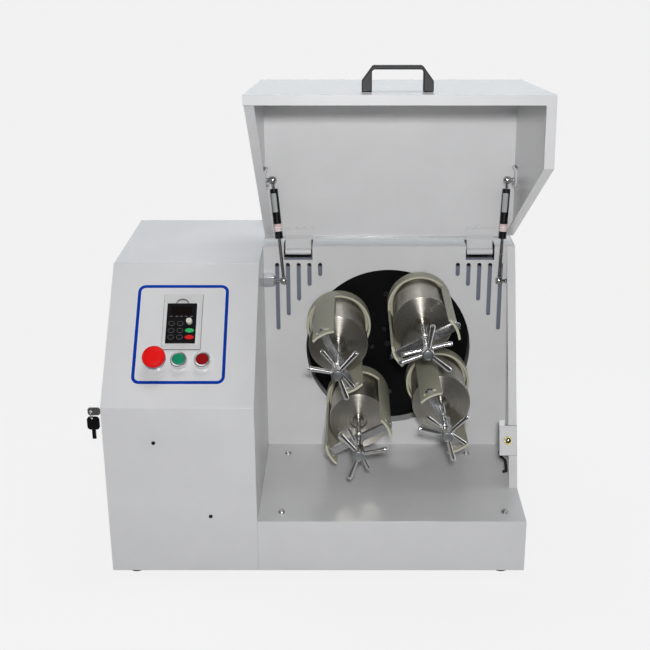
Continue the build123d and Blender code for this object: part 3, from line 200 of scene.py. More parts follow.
finish = {  # the name and colour, then the roughness and the rest in the order of each maker's values
    "shell": powderPaint("housingPaint", (0.725, 0.725, 0.732), 0.22, 1900.0, 0.00006, specular=0.5),
    # painted shade: the liner plates behind the slots and notches are coloured as dark as the shade seen through them
    "shadedLiner": powderPaint("linerShadePaint", (0.21, 0.23, 0.29), 0.5, 1800.0, 0.00005),
    "disk": powderPaint("diskPaint", (0.0035, 0.0035, 0.004), 0.5, 1400.0, 0.00004, 0.15, 0.10),
    "holder": powderPaint("holderPaint", (0.43, 0.425, 0.335), 0.42, 1600.0, 0.00003, 0.08),
    # paler paint for the holders' front-facing faces: partly bare sawn edges, partly painted light on the side that
    # faces the lamps
    "holderEdgeBareAndLit": powderPaint("holderEdgeBareAndLit", (0.55, 0.54, 0.42), 0.4, 1600.0, 0.00002, 0.05),
    "chrome": polished("chromePlate", (0.74, 0.74, 0.75), 0.07, 0.05),
    "bezelChrome": polished("bezelChrome", (0.86, 0.86, 0.87), 0.36, 0.05),
    "satinChrome": polished("satinChrome", (0.62, 0.62, 0.62), 0.2, 0.1),
    "steel": drawnMetal("machinedSteel", (0.45, 0.44, 0.41), 0.32, (1, 12, 1)),
    "zinc": drawnMetal("zincPlate", (0.50, 0.50, 0.49), 0.3, (1, 1, 1), 300.0),
    # dark grey of painted shade lines: the keypad frame's shadow, the notch's shade and the shade in the seam round
    # the interlock box
    "shadeLine": moulded("shadeLineGrey", (0.19, 0.19, 0.20), 0.6, 1500.0, 0.00001, 0.2),
    # painted shade: the dark brown of the plunger's recess
    "wellShadeBrown": moulded("wellShadeBrown", (0.035, 0.014, 0.004), 0.35, 900.0, 0.00002, 0.3),
    "hubFace": polished("hubFace", (0.50, 0.53, 0.54), 0.34, 0.1),
    "boltSteel": drawnMetal("boltSteel", (0.05, 0.05, 0.05), 0.4, (1, 1, 1), 300.0),
    "barSteel": polished("barSteel", (0.72, 0.72, 0.73), 0.17, 0.12),
    "rodSteel": polished("rodSteel", (0.30, 0.295, 0.29), 0.22, 0.06),
    "bladeSteel": polished("bladeSteel", (0.30, 0.25, 0.21), 0.35, 0.1),
    "footZinc": drawnMetal("footZinc", (0.80, 0.82, 0.86), 0.38, (1, 1, 1), 300.0, 0.05),
    "iron": drawnMetal("machinedIron", (0.30, 0.30, 0.31), 0.45, (1, 1, 6), 90.0),
    "blackPaint": powderPaint("blackPaint", (0.006, 0.006, 0.007), 0.28, 1500.0, 0.00002, 0.1, 0.3),
    "blackPlastic": moulded("blackPlastic", (0.004, 0.004, 0.005), 0.55, specular=0.15),
    "gripPlastic": moulded("gripPlastic", (0.010, 0.010, 0.013), 0.5, 1300.0, 0.00004, 0.4),
    "rubber": moulded("footRubber", (0.02, 0.02, 0.021), 0.75, 700.0, 0.0001),
    "belt": moulded("beltRubber", (0.025, 0.025, 0.027), 0.65, 900.0, 0.0001),
    "red": moulded("redPlastic", (0.80, 0.004, 0.003), 0.5, 900.0, 0.00002, 0.18),
    "darkRed": moulded("darkRedPlastic", (0.30, 0.0012, 0.004), 0.5, 900.0, 0.00002, 0.15),
    "green": moulded("greenPlastic", (0.002, 0.26, 0.13), 0.42, 900.0, 0.00002, 0.25),
    "cream": moulded("creamPlastic", (0.72, 0.70, 0.60), 0.4, 900.0, 0.00002),
    "motor": powderPaint("motorPaint", (0.10, 0.16, 0.23), 0.4, 900.0, 0.00005, 0.08),
    "brass": polished("brass", (0.74, 0.66, 0.30), 0.2, 0.08),
    "white": moulded("whitePlastic", (0.85, 0.85, 0.84), 0.45),
    "frameWhite": moulded("frameWhite", (0.72, 0.72, 0.725), 0.45),
    "frameGrey": moulded("frameGrey", (0.64, 0.64, 0.64), 0.45),
    "rimSteel": polished("rimSteel", (0.42, 0.43, 0.45), 0.2, 0.1),
    "wheelChrome": polished("wheelChrome", (0.74, 0.73, 0.73), 0.17, 0.07),
    "label": moulded("labelGrey", (0.42, 0.44, 0.44), 0.5),
    "blue": moulded("bluePrint", (0.0005, 0.040, 0.36), 0.55, 2200.0, 0.00001, 0.08),
    "keyGreen": moulded("keyGreen", (0.05, 0.50, 0.16), 0.45, specular=0.2),
    "keyRed": moulded("keyRed", (0.72, 0.012, 0.012), 0.45, specular=0.2),
    "display": moulded("displayWindow", (0.006, 0.003, 0.003), 0.3, 1800.0, 0.00001, 0.2),
    "print": moulded("greyPrint", (0.16, 0.16, 0.165), 0.5, specular=0.15),
}
print("materials made:", len(finish))


def meshCopy(node):
    bm = bmesh.new()
    bm.from_mesh(nodes[node].data)
    bmesh.ops.remove_doubles(bm, verts=bm.verts, dist=1e-6)
    bmesh.ops.dissolve_limit(bm, angle_limit=math.radians(0.6), verts=bm.verts, edges=bm.edges,
                             delimit={"NORMAL"})
    return bm


def makePiece(name, bm, body, materials, smoothAngle=35.0):
    mesh = bpy.data.meshes.new(name)
    bm.to_mesh(mesh)
    bm.free()
    obj = bpy.data.objects.new(name, mesh)
    bpy.context.scene.collection.objects.link(obj)
    for mat in materials:
        mesh.materials.append(mat)
    for face in mesh.polygons:
        face.use_smooth = True
    mesh.set_sharp_from_angle(angle=math.radians(smoothAngle))
    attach(obj, body)
    return obj


def softEdges(obj, width, segments, angle=32.0):
    # rounds the edges of a made piece, and keeps its flat faces flat
    bevel = obj.modifiers.new("edges", "BEVEL")
    bevel.width = width
    bevel.segments = segments
    bevel.limit_method = "ANGLE"
    bevel.angle_limit = math.radians(angle)
    bevel.use_clamp_overlap = True
    bevel.harden_normals = True
    flat = obj.modifiers.new("flat", "WEIGHTED_NORMAL")
    flat.mode = "FACE_AREA"
    flat.weight = 100
    flat.keep_sharp = True
    depsgraph = bpy.context.evaluated_depsgraph_get()
    baked = bpy.data.meshes.new_from_object(obj.evaluated_get(depsgraph))
    obj.modifiers.clear()
    old = obj.data
    obj.data = baked
    bpy.data.meshes.remove(old)


dressing = {  # node: (finish, edge width in mm, segments)
    "cabinet_shell": ("shell", 0.9, 2), "base_tray": ("shell", 0.9, 2), "bottom_plate": ("shell", 0.4, 1),
    "chamber_panel": ("shell", 0.5, 2), "right_wall": ("shell", 0.7, 2), "rear_cover": ("shell", 0.7, 2),
    "side_door": ("shell", 0.6, 2), "lid_shell": ("shell", 0.9, 2),
    "feet": ("rubber", 1.0, 2), "door_hinge_pins": ("zinc", 0.4, 1),
    "hinge_brackets": ("blackPaint", 0.4, 2),
    "sun_gear": ("steel", 0.3, 1), "bearing_housing": ("iron", 0.8, 2), "drive_motor": ("motor", 0.7, 2),
    "drive_belt": ("belt", 0.6, 2), "main_pulley": ("iron", 0.6, 2), "motor_pulley": ("iron", 0.6, 2),
    "disk_bolts": ("boltSteel", 0.5, 2), "planet_bearings": ("steel", 0.4, 1),
    "carrier_disk": ("disk", 0.8, 2), "lock_barrel": ("blackPlastic", 0.4, 2), "lock_key": ("zinc", 0.4, 2),
    "speed_knob": ("cream", 0.5, 2),
    "switch_collars": ("chrome", 0.4, 2),
    "interlock_plunger": ("brass", 0.3, 1),
    "left_strut_rod": ("rodSteel", 0.3, 2), "right_strut_rod": ("rodSteel", 0.3, 2),
}
slotOf = {row["node"]: row["material_slot"] for row in frame["record"]["subparts"]}
bodyOf = {node: body for body, members in frame["record"]["behaviour"]["bodies"].items() for node in members}


def dress(node, mats, width, segments, smoothAngle=35.0):
    obj = makePiece(node + "_skin", meshCopy(node), bodyOf[node], mats, smoothAngle)
    if width:
        softEdges(obj, width * mm, segments)
    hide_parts(node)
    return obj


dressed = {}
for node, (look, width, segments) in dressing.items():
    dressed[node] = dress(node, [finish[look]], width, segments)
screws = dress("housing_screws", [finish["zinc"], finish["boltSteel"]], 0.5, 2)
for face in screws.data.polygons:  # those in the cabinet's front are dull and dark
    if face.center.x < machine["chamberLeft"]:
        face.material_index = 1
spare = dress("spare_key", [finish["blackPlastic"], finish["bladeSteel"]], 0.7, 2)
bladeShare, noseDepth = 0.43, 0.035  # blade's part of the key's length, and the shaft's nose behind the panel's front
heights = [vert.co.z for vert in spare.data.vertices]
bladeTop = min(heights) + bladeShare * (max(heights) - min(heights))
for face in spare.data.polygons:
    if face.center.z < bladeTop:
        face.material_index = 1
shaft = dress("main_shaft", [finish["steel"], finish["disk"]], 0.5, 2)
for face in shaft.data.polygons:  # the nose in the disc's face is painted with it
    if face.center.y < machine["panelFront"] + noseDepth:
        face.material_index = 1
print("dressed", len(dressed), "nodes")


def planetCentre(place):
    angle = math.radians(planets[place][0])
    reach = machine["planetReach"]
    return machine["chamberMiddle"] + reach * math.cos(angle), machine["rotorZ"] + reach * math.sin(angle)


for place in planets:
    turned = turnedMetal(place + "TurnedSteel", jarSteel, planetCentre(place))
    holder = dress(place + "_jar_holder", [finish["holder"], finish["holderEdgeBareAndLit"], finish["steel"]], 0.7, 2)
    for face in holder.data.polygons:  # the front-facing faces are paler, partly as bare sawn edges and partly as painted light on the side that faces the lamps; the spindle and gear are bare
        if face.center.y > machine["panelFront"]:
            face.material_index = 2
        elif face.normal.y < -0.9:
            face.material_index = 1
    dressed[place + "_jar_holder"] = holder
    dressed[place + "_grinding_jar"] = dress(place + "_grinding_jar", [turned], 0.6, 2)
    dressed[place + "_clamp_bar"] = dress(place + "_clamp_bar", [finish["barSteel"]], 0.7, 2)
print("planets dressed")

slopeLean = math.radians(45.0)
slopeOut = Vector((0, -math.sin(slopeLean), math.cos(slopeLean)))
slopeUp = Vector((0, math.cos(slopeLean), math.sin(slopeLean)))


def slopePoint(across, up, rise=0.0):
    # millimetres from the cabinet's left edge and the fold
    start = Vector((machine["left"], machine["front"], machine["fold"]))
    return start + Vector((across, 0, 0)) * mm + slopeUp * up * mm + slopeOut * rise * mm


def roundedLoop(low, high, radius, steps=8):
    points = []
    for cx, cy, start in ((high[0] - radius, high[1] - radius, 0), (low[0] + radius, high[1] - radius, 90),
                          (low[0] + radius, low[1] + radius, 180), (high[0] - radius, low[1] + radius, 270)):
        for i in range(steps + 1):
            angle = math.radians(start + 90 * i / steps)
            points.append((cx + radius * math.cos(angle), cy + radius * math.sin(angle)))
    return points


def grownLoop(low, high, grow, radius, steps=8):
    # rounded box of two corners, larger by a margin on each side
    return roundedLoop([v - grow for v in low], [v + grow for v in high], radius, steps)


def slopeBand(name, outer, inner, rise, mat):
    # closed band between two loops of the same count, from the lower to the upper rise on the slope
    low, high = rise
    bm = bmesh.new()
    rings = []
    for loop, height in ((outer, low), (outer, high), (inner, high), (inner, low)):
        rings.append([bm.verts.new(slopePoint(x, y, height)) for x, y in loop])
    count = len(outer)
    for a, b in zip(rings, rings[1:] + rings[:1]):
        for i in range(count):
            bm.faces.new((a[i], a[(i + 1) % count], b[(i + 1) % count], b[i]))
    bmesh.ops.recalc_face_normals(bm, faces=bm.faces)
    return makePiece(name, bm, "housing", [mat])


def slopePad(name, loop, rise, mat, edge=0.0):
    # flat plate over a loop, its edges rounded by edge in millimetres
    low, high = rise
    bm = bmesh.new()
    under = [bm.verts.new(slopePoint(x, y, low)) for x, y in loop]
    over = [bm.verts.new(slopePoint(x, y, high)) for x, y in loop]
    bm.faces.new(over)
    bm.faces.new(under[::-1])
    count = len(loop)
    for i in range(count):
        bm.faces.new((under[i], under[(i + 1) % count], over[(i + 1) % count], over[i]))
    bmesh.ops.recalc_face_normals(bm, faces=bm.faces)
    obj = makePiece(name, bm, "housing", [mat])
    if edge:
        softEdges(obj, edge * mm, 2)
    return obj


border = {
    "low": (49.2, 45.0), "high": (213.8, 238.4), "width": 6.0, "radius": 14.0, "rise": (-0.05, 0.12),
    "edge": 0.7, "edgeRise": (-0.06, 0.05),  # the pale line on both sides of the blue one
}


def borderLoop(grow):
    return grownLoop(border["low"], border["high"], grow, border["radius"] + grow)


slopeBand("blueBorder", borderLoop(0.0), borderLoop(-border["width"]), border["rise"], finish["blue"])
slopeBand("borderEdge", borderLoop(border["edge"]), borderLoop(-border["width"] - border["edge"]), border["edgeRise"],
          finish["white"])

keypadFace = {  # places and sizes on the slope, and each form's lower and upper rise over it
    "middle": (131.5, 160.0), "size": (52.6, 77.4), "frameLow": (98.75, 110.75), "frameHigh": (167.25, 218.25),
    "frameRise": (-0.05, 0.35), "bezel": 4.2, "bezelTop": 1.2, "bezelRise": (2.4, 3.5),
    "displayLow": (112.5, 172.2), "displayHigh": (150.5, 191.8), "displayRise": (4.9, 5.9),
    "ovalKeys": (("greenKey", (147.4, 145.0), "keyGreen", "green_plastic"),
                 ("redKey", (147.6, 131.9), "keyRed", "red_plastic")),
    "oval": (16.0, 8.4), "ovalRise": (5.9, 7.0),
    "greyKeys": [(x, y) for x in (114.8, 130.3) for y in (158.5, 144.8, 131.9)],
    "greyOval": (11.0, 8.8), "greyInner": (9.9, 7.7), "greyRise": (5.9, 6.95),
    "marks": (110.5, 121.0, 129.0, 137.5, 147.0), "markLine": (172.3, 173.7), "markWidth": 4.6,
    "markRise": (5.85, 6.02), "notchTop": 1.4, "notchOuter": (11.6, 9.6), "notchInner": (9.9, 6.4),
    "notchRise": (2.3, 2.75), "sheetDepth": -0.005,
}


def ovalLoop(middle, size, steps=28):
    return [(middle[0] + size[0] / 2 * math.cos(2 * math.pi * i / steps),
             middle[1] + size[1] / 2 * math.sin(2 * math.pi * i / steps)) for i in range(steps)]


keypadSkin = dress("keypad", [finish["frameGrey"], finish["blackPlastic"]], 0.0, 1)
bm = bmesh.new()
bm.from_mesh(keypadSkin.data)
bm.faces.ensure_lookup_table()
waiting = set(bm.faces)
while waiting:  # the pad is the loose part that reaches down behind the sheet
    island = {waiting.pop()}
    edge = list(island)
    while edge:
        face = edge.pop()
        for link in face.edges:
            for other in link.link_faces:
                if other in waiting:
                    waiting.remove(other)
                    island.add(other)
                    edge.append(other)
    depth = min((vert.co - slopePoint(0, 0)).dot(slopeOut) for face in island for vert in face.verts)
    for face in island:
        face.material_index = 1 if depth < keypadFace["sheetDepth"] else 0
bm.to_mesh(keypadSkin.data)
bm.free()
slopePad("displayWindow", roundedLoop(keypadFace["displayLow"], keypadFace["displayHigh"], 1.2, 4),
         keypadFace["displayRise"], finish["display"], edge=0.2)
half = [v / 2 for v in keypadFace["size"]]
mx, my = keypadFace["middle"]
padLow, padHigh = (mx - half[0], my - half[1]), (mx + half[0], my + half[1])
rim = keypadFace["bezel"]
slopeBand("frameShadow", grownLoop(keypadFace["frameLow"], keypadFace["frameHigh"], 0.9, 1.4),
          grownLoop(keypadFace["frameLow"], keypadFace["frameHigh"], -0.2, 0.5), keypadFace["frameRise"],
          finish["shadeLine"])
slopeBand("padBezel", roundedLoop((padLow[0] - rim, padLow[1] - rim),
                                  (padHigh[0] + rim, padHigh[1] + keypadFace["bezelTop"]), 1.5),
          grownLoop(padLow, padHigh, 0.35, 0.3), keypadFace["bezelRise"], finish["frameWhite"])
for name, spot, look, slotName in keypadFace["ovalKeys"]:
    slopePad(name, ovalLoop(spot, keypadFace["oval"]), keypadFace["ovalRise"], finish[look], edge=0.4)
for i, spot in enumerate(keypadFace["greyKeys"]):
    slopeBand(f"keyOutline{i}", ovalLoop(spot, keypadFace["greyOval"]), ovalLoop(spot, keypadFace["greyInner"]),
              keypadFace["greyRise"], finish["print"])
markLow, markHigh = keypadFace["markLine"]
for i, x in enumerate(keypadFace["marks"]):
    slopePad(f"displayMark{i}", roundedLoop((x, markLow), (x + keypadFace["markWidth"], markHigh), 0.5, 3),
             keypadFace["markRise"], finish["print"])


def archOf(size, angles):
    # points of a half oval over the notch in the keypad's frame
    top = padHigh[1] + keypadFace["notchTop"]
    return [(mx + size[0] * math.cos(math.radians(a)), top + size[1] * math.sin(math.radians(a))) for a in angles]


crescent = archOf(keypadFace["notchOuter"], range(0, 181, 10)) + archOf(keypadFace["notchInner"], range(180, -1, -10))
slopePad("notchShade", crescent, keypadFace["notchRise"], finish["shadeLine"])
print("keypad made")


def lathe(name, profile, start, direction, mat, body, steps=40, loop=False):
    # profile is (radius, height) in millimetres along the direction; a loop makes a ring
    direction = direction.normalized()
    side = direction.orthogonal().normalized()
    other = direction.cross(side)
    bm = bmesh.new()
    rings = []
    for radius, height in profile:
        middle = start + direction * height * mm
        if radius < 1e-4:
            rings.append([bm.verts.new(middle)])
            continue
        turns = [2 * math.pi * i / steps for i in range(steps)]
        rings.append([bm.verts.new(middle + (side * math.cos(a) + other * math.sin(a)) * radius * mm)
                      for a in turns])
    pairs = list(zip(rings, rings[1:]))
    if loop:
        pairs.append((rings[-1], rings[0]))
    for a, b in pairs:
        for i in range(steps):
            j = (i + 1) % steps
            if len(a) == 1:
                bm.faces.new((a[0], b[i], b[j]))
            elif len(b) == 1:
                bm.faces.new((a[i], a[j], b[0]))
            else:
                bm.faces.new((a[i], a[j], b[j], b[i]))
    if not loop:
        for end in (rings[0], rings[-1]):
            if len(end) > 1:
                bm.faces.new(end)
    bmesh.ops.recalc_face_normals(bm, faces=bm.faces)
    return makePiece(name, bm, body, [mat], 30.0)


def prism(name, outline, start, across, up, depth, mat, body, edge=0.0):
    # flat outline in millimetres on the two directions, pushed along their cross product
    across, up = across.normalized(), up.normalized()
    out = across.cross(up)
    bm = bmesh.new()
    low = [bm.verts.new(start + (across * x + up * y) * mm) for x, y in outline]
    high = [bm.verts.new(vert.co + out * depth * mm) for vert in low]
    bm.faces.new(low[::-1])
    bm.faces.new(high)
    for i in range(len(low)):
        j = (i + 1) % len(low)
        bm.faces.new((low[i], low[j], high[j], high[i]))
    bmesh.ops.recalc_face_normals(bm, faces=bm.faces)
    obj = makePiece(name, bm, body, [mat])
    if edge:
        softEdges(obj, edge * mm, 3)
    return obj


estop = {  # radius and height above the slope, millimetres
    "place": (90.0, 87.5),
    "head": ((0, 28.0), (10.0, 27.8), (15.0, 27.2), (18.4, 25.8), (20.1, 23.6), (20.5, 21.8), (20.3, 20.6),
             (19.4, 20.1), (0, 20.1)),
    "rim": ((17.7, 20.0), (19.8, 20.0), (20.2, 19.2), (20.2, 12.6), (19.6, 11.8), (17.7, 11.8)),
    "stem": ((0, 20.0), (9.0, 20.0), (9.0, -12.0), (0, -12.0)),
}
estopFoot = slopePoint(*estop["place"])
head = lathe("redHead", estop["head"], estopFoot, slopeOut, finish["red"], "estop", steps=64)
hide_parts("estop_head")
lathe("headRim", estop["rim"], estopFoot, slopeOut, finish["rimSteel"], "estop", steps=64, loop=True)
lathe("headStem", estop["stem"], estopFoot, slopeOut, finish["blackPlastic"], "estop", steps=48)
buttons = {  # node, place on the slope and finish, then the profiles
    "rows": (("start_button", (132.0, 87.5), "green"), ("stop_button", (173.5, 87.5), "darkRed")),
    "bezel": ((11.1, 0.0), (15.2, 0.0), (15.2, 2.0), (14.8, 2.8), (14.8, 11.4), (13.4, 13.0), (11.1, 12.6)),
    "head": ((0, 13.5), (7.6, 13.4), (9.8, 13.0), (10.6, 12.2), (10.7, 11.2), (10.7, 4.6), (0, 4.6)),
}
for i, (node, place, look) in enumerate(buttons["rows"]):
    foot = slopePoint(*place)
    lathe(f"buttonBezel{i}", buttons["bezel"], foot, slopeOut, finish["bezelChrome"], "housing", steps=64,
          loop=True)
    head = lathe(node + "Head", buttons["head"], foot, slopeOut, finish[look], bodyOf[node], steps=56)
    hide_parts(node)
print("control face made")


clamp = {  # heights run to the front from the panel, radius and height in millimetres
    "hub": ((0, 263.5), (5.4, 263.5), (9.6, 264.0), (11.0, 265.2), (11.0, 284.0), (10.2, 285.5), (8.7, 285.5),
            (8.2, 284.6), (0, 284.6)),
    "face": ((0, 284.4), (8.0, 284.4), (8.0, 285.0), (7.4, 285.2), (0, 285.2)),
    "screw": (137.1, 263.8), "pitch": 1.75, "crest": 5.0, "root": 4.45, "tip": 3.6,
    "nut": ((5.1, 248.6), (8.8, 248.6), (10.0, 249.8), (10.0, 259.2), (8.8, 260.4), (5.1, 260.4)),
    "spokeHeight": 274.5,
    "spoke": ((3.5, 9.0), (3.7, 14.0), (4.3, 34.0), (4.9, 46.0), (5.0, 49.0), (4.4, 51.4), (2.7, 52.8), (0, 53.2)),
    "barHeight": 254.5,
    "bar": ((3.0, 8.0), (3.2, 20.0), (3.8, 38.0), (4.0, 42.5), (3.5, 44.8), (2.0, 46.0), (0, 46.2)),
    "wheelAngles": {"upper_right": 81.0, "upper_left": 49.0, "lower_left": 11.0, "lower_right": 45.0},
    "barAngles": {"upper_right": 14.0, "upper_left": 129.0, "lower_left": 115.0, "lower_right": 143.0},
}
toFront, toRight, upward = Vector((0, -1, 0)), Vector((1, 0, 0)), Vector((0, 0, 1))


def heading(angle):
    return Vector((math.cos(math.radians(angle)), 0, math.sin(math.radians(angle))))


low, high = clamp["screw"]
pitch, root, crest = clamp["pitch"], clamp["root"], clamp["crest"]
thread = [(0, low), (clamp["tip"], low), (root, low + 1.0)]
while thread[-1][1] + pitch < high - 1.0:
    height = thread[-1][1]
    thread += [(crest, height + pitch * 0.4), (crest, height + pitch * 0.6), (root, height + pitch)]
thread += [(root, high), (0, high)]
for place in planets:
    cx, cz = planetCentre(place)
    axis = Vector((cx, machine["panelFront"], cz))
    wheel, nut = place + "_wheel", place + "_nut"
    hub = lathe(place + "Hub", clamp["hub"], axis, toFront, finish["wheelChrome"], wheel, steps=48)
    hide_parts(place + "_handwheel")
    lathe(place + "HubFace", clamp["face"], axis, toFront, finish["hubFace"], wheel, steps=40)
    lathe(place + "Screw", thread, axis, toFront, finish["satinChrome"], wheel, steps=24)
    for i in range(3):
        lathe(f"{place}Spoke{i}", clamp["spoke"], axis + toFront * clamp["spokeHeight"] * mm,
              heading(clamp["wheelAngles"][place] + 120 * i), finish["wheelChrome"], wheel, steps=24)
    ring = lathe(place + "Nut", clamp["nut"], axis, toFront, finish["wheelChrome"], nut, steps=48, loop=True)
    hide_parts(place + "_lock_bar")
    for i in range(2):
        lathe(f"{place}NutBar{i}", clamp["bar"], axis + toFront * clamp["barHeight"] * mm,
              heading(clamp["barAngles"][place] + 180 * i), finish["wheelChrome"], nut, steps=24)
print("clamps made")

lidHinge = Vector((0.0, 0.078, 0.518))
lidSwing = math.radians(95.0)
lidOut = Vector((0, -math.cos(lidSwing), math.sin(lidSwing)))  # from the hinge to the lid's front
lidUp = Vector((0, math.sin(lidSwing), math.cos(lidSwing)))  # up when the lid is shut


def lidPoint(x, ahead, up):
    # x in metres, then millimetres ahead of the hinge and above it, as if the lid were shut
    return lidHinge + Vector((x, 0, 0)) + lidOut * ahead * mm + lidUp * up * mm


grip = {  # bow handle on the lid's front, half outline in millimetres from its middle and the lid
    "rise": -342.5, "depth": 22.0,
    "outer": ((57.0, 0.0), (57.0, 16.0), (56.2, 18.2), (40.4, 39.6), (37.6, 41.0)),
    "inner": ((40.8, 0.0), (40.8, 31.0), (39.4, 33.6), (36.6, 34.6)),
}
gripLine = [(-x, y) for x, y in grip["outer"]] + [(x, y) for x, y in grip["outer"][::-1]]
gripLine += list(grip["inner"]) + [(-x, y) for x, y in grip["inner"][::-1]]
handle = prism("bowHandle", gripLine, lidPoint(machine["chamberMiddle"], 328.0, grip["rise"]), Vector((-1, 0, 0)),
               lidOut, grip["depth"], finish["gripPlastic"], "lid", edge=1.6)
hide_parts("lid_handle")
print("handle made")

strut = {  # millimetres; heights run from the cylinder's mouth towards the lid
    "reach": {"left": (19.0, 30.0, 191.0), "right": (11.0, 30.0, 191.0)}, "neck": 17.0, "length": 95.0,
    "band": (14.0, 28.0), "redLines": (16.2, 19.0, 23.2, 25.8), "lineWidth": 0.7, "lineRise": 0.05,
    "label": (51.0, 87.0), "labelTurn": 42.0, "labelFacing": (-0.25, -1, 0.1), "radius": 7.56, "skin": 0.12,
}


def stripRound(name, start, along, facing, low, high, halfTurn, radius, mat, body, slotName):
    # thin curved label on a cylinder, centred on the side that faces the given way
    facing = (facing - along * facing.dot(along)).normalized()
    other = along.cross(facing)
    bm = bmesh.new()
    rows = []
    for reach in (radius - 0.1, radius):
        for height in (low, high):
            row = []
            for i in range(13):
                angle = math.radians(-halfTurn + 2 * halfTurn * i / 12)
                row.append(bm.verts.new(start + along * height * mm
                                        + (facing * math.cos(angle) + other * math.sin(angle)) * reach * mm))
            rows.append(row)
    inLow, inHigh, outLow, outHigh = rows
    for a, b in ((outLow, outHigh), (inHigh, inLow), (outHigh, inHigh), (inLow, outLow)):
        for i in range(12):
            bm.faces.new((a[i], a[i + 1], b[i + 1], b[i]))
    for i in (0, 12):
        bm.faces.new((inLow[i], outLow[i], outHigh[i], inHigh[i]))
    bmesh.ops.recalc_face_normals(bm, faces=bm.faces)
    return makePiece(name, bm, body, [mat])


strutLow = {}
strutHigh = {}
for side in ("left", "right"):
    turn = next(j for j in frame["joints"] if j["name"] == side + "_strut_turn")
    slide = next(j for j in frame["joints"] if j["name"] == side + "_strut_slide")
    low = Vector(turn["pos_m"])
    along = Vector(slide["axis"]).normalized()
    reach = Vector(strut["reach"][side]).length
    mouth = low + along * (reach - strut["neck"] - strut["length"]) * mm
    strutLow[side] = low
    strutHigh[side] = low + along * reach * mm
    body = side + "_cylinder"
    tube = dress(side + "_strut_cylinder", [finish["blackPaint"], finish["chrome"]], 0.5, 2)
    for face in tube.data.polygons:
        if (face.center - mouth).dot(along) * perMetre > strut["length"] + 0.3:
            face.material_index = 1
    radius, under = strut["radius"], strut["radius"] - strut["skin"]
    stripes = [("Band", strut["band"], radius, "white")]
    for i, line in enumerate(strut["redLines"]):
        stripes.append((f"Line{i}", (line, line + strut["lineWidth"]), radius + strut["lineRise"], "red"))
    for name, (start, end), over, look in stripes:
        lathe(side + "Strut" + name, ((under, start), (over, start), (over, end), (under, end)), mouth, along,
              finish[look], body, steps=40, loop=True)
    stripRound(side + "StrutLabel", mouth, along, Vector(strut["labelFacing"]), *strut["label"], strut["labelTurn"],
               radius, finish["label"], body, "black_steel")
print("struts detailed")

studs = {  # millimetres
    "cup": ((0, -7.8), (3.4, -7.4), (6.2, -5.2), (7.4, -2.6), (7.7, 0), (7.4, 2.6), (6.4, 4.6), (5.2, 6.3), (0, 6.3)),
    "eye": ((4.7, -5.8), (6.2, -5.2), (7.4, -2.6), (7.7, 0), (7.4, 2.6), (6.2, 5.2), (4.7, 5.8)),
    "washer": ((3.4, 0.0), (8.2, 0.0), (8.6, 0.6), (8.2, 2.2), (3.4, 2.4)),
    "stud": 3.9, "tip": 2.6, "wallReach": (5.5, 6.5), "collar": 4.6, "collarReach": (-8.0, -7.6, -7.1, -7.0),
    "plateFace": 2.5, "footGap": 18.0, "foot": ((-8, -9), (8, -9), (8, 9), (-8, 9)),
    "plate": ((-19, -12), (7, -12), (7, 24), (-19, 24)), "plateDepth": 2.4,
    "flanges": (("Low", -12), ("High", 22)), "flangeDepth": 6.5, "leftGap": 0.002,
}
sides = (  # direction inwards, then where the housing's wall and the lid's wall stand
    ("left", 1, machine["chamberLeft"], -0.1055), ("right", -1, 0.373, 0.373),
)
chrome, satin, radius = finish["chrome"], finish["satinChrome"], studs["stud"]
for side, sign, wall, lidWall in sides:
    low, high = strutLow[side], strutHigh[side]
    inward, turned = Vector((sign, 0, 0)), Vector((0, sign, 0))
    rod, cylinder = bodyOf[side + "_strut_rod"], bodyOf[side + "_strut_cylinder"]
    span = abs(low.x - wall) * perMetre
    footEnd = span - studs["footGap"]
    base = Vector((wall, low.y, low.z))
    neck, end = (span + reach for reach in studs["wallReach"])
    wallStud = ((0, footEnd), (radius, footEnd), (radius, neck), (studs["tip"], end), (0, end))
    pin = lathe(side + "WallStud", wallStud, base, inward, chrome, "housing")
    if side == "left":
        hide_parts("strut_wall_studs")
    footTop = base + inward * footEnd * mm
    lathe(side + "WallWasher", studs["washer"], footTop, inward, satin, "housing", steps=40, loop=True)
    prism(side + "WallFoot", studs["foot"], base, turned, upward, footEnd, finish["footZinc"], "housing",
          edge=0.8)
    lathe(side + "LowEye", studs["eye"], low, -inward, satin, rod, steps=40, loop=True)
    lathe(side + "HighCup", studs["cup"], high, -inward, satin, cylinder, steps=40)
    if side == "left":
        lidWall += studs["leftGap"]
    span = abs(high.x - lidWall) * perMetre
    base = Vector((lidWall, high.y, high.z))
    neck, flare, rim, end = (span + reach for reach in studs["collarReach"])
    start, collar = studs["plateFace"], studs["collar"]
    lidStud = ((0, start), (radius, start), (radius, neck), (collar, flare), (collar, rim), (0, end))
    pin = lathe(side + "LidStud", lidStud, base, inward, chrome, "lid")
    if side == "left":
        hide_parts("strut_lid_studs")
    prism(side + "LidPlate", studs["plate"], base, turned, upward, studs["plateDepth"], finish["shell"], "lid",
          edge=0.5)
    for end, foot in studs["flanges"]:
        prism(side + "LidPlate" + end, [(-19, foot), (7, foot), (7, foot + 2), (-19, foot + 2)], base, turned, upward,
              studs["flangeDepth"], finish["shell"], "lid", edge=0.5)
print("strut ends made")

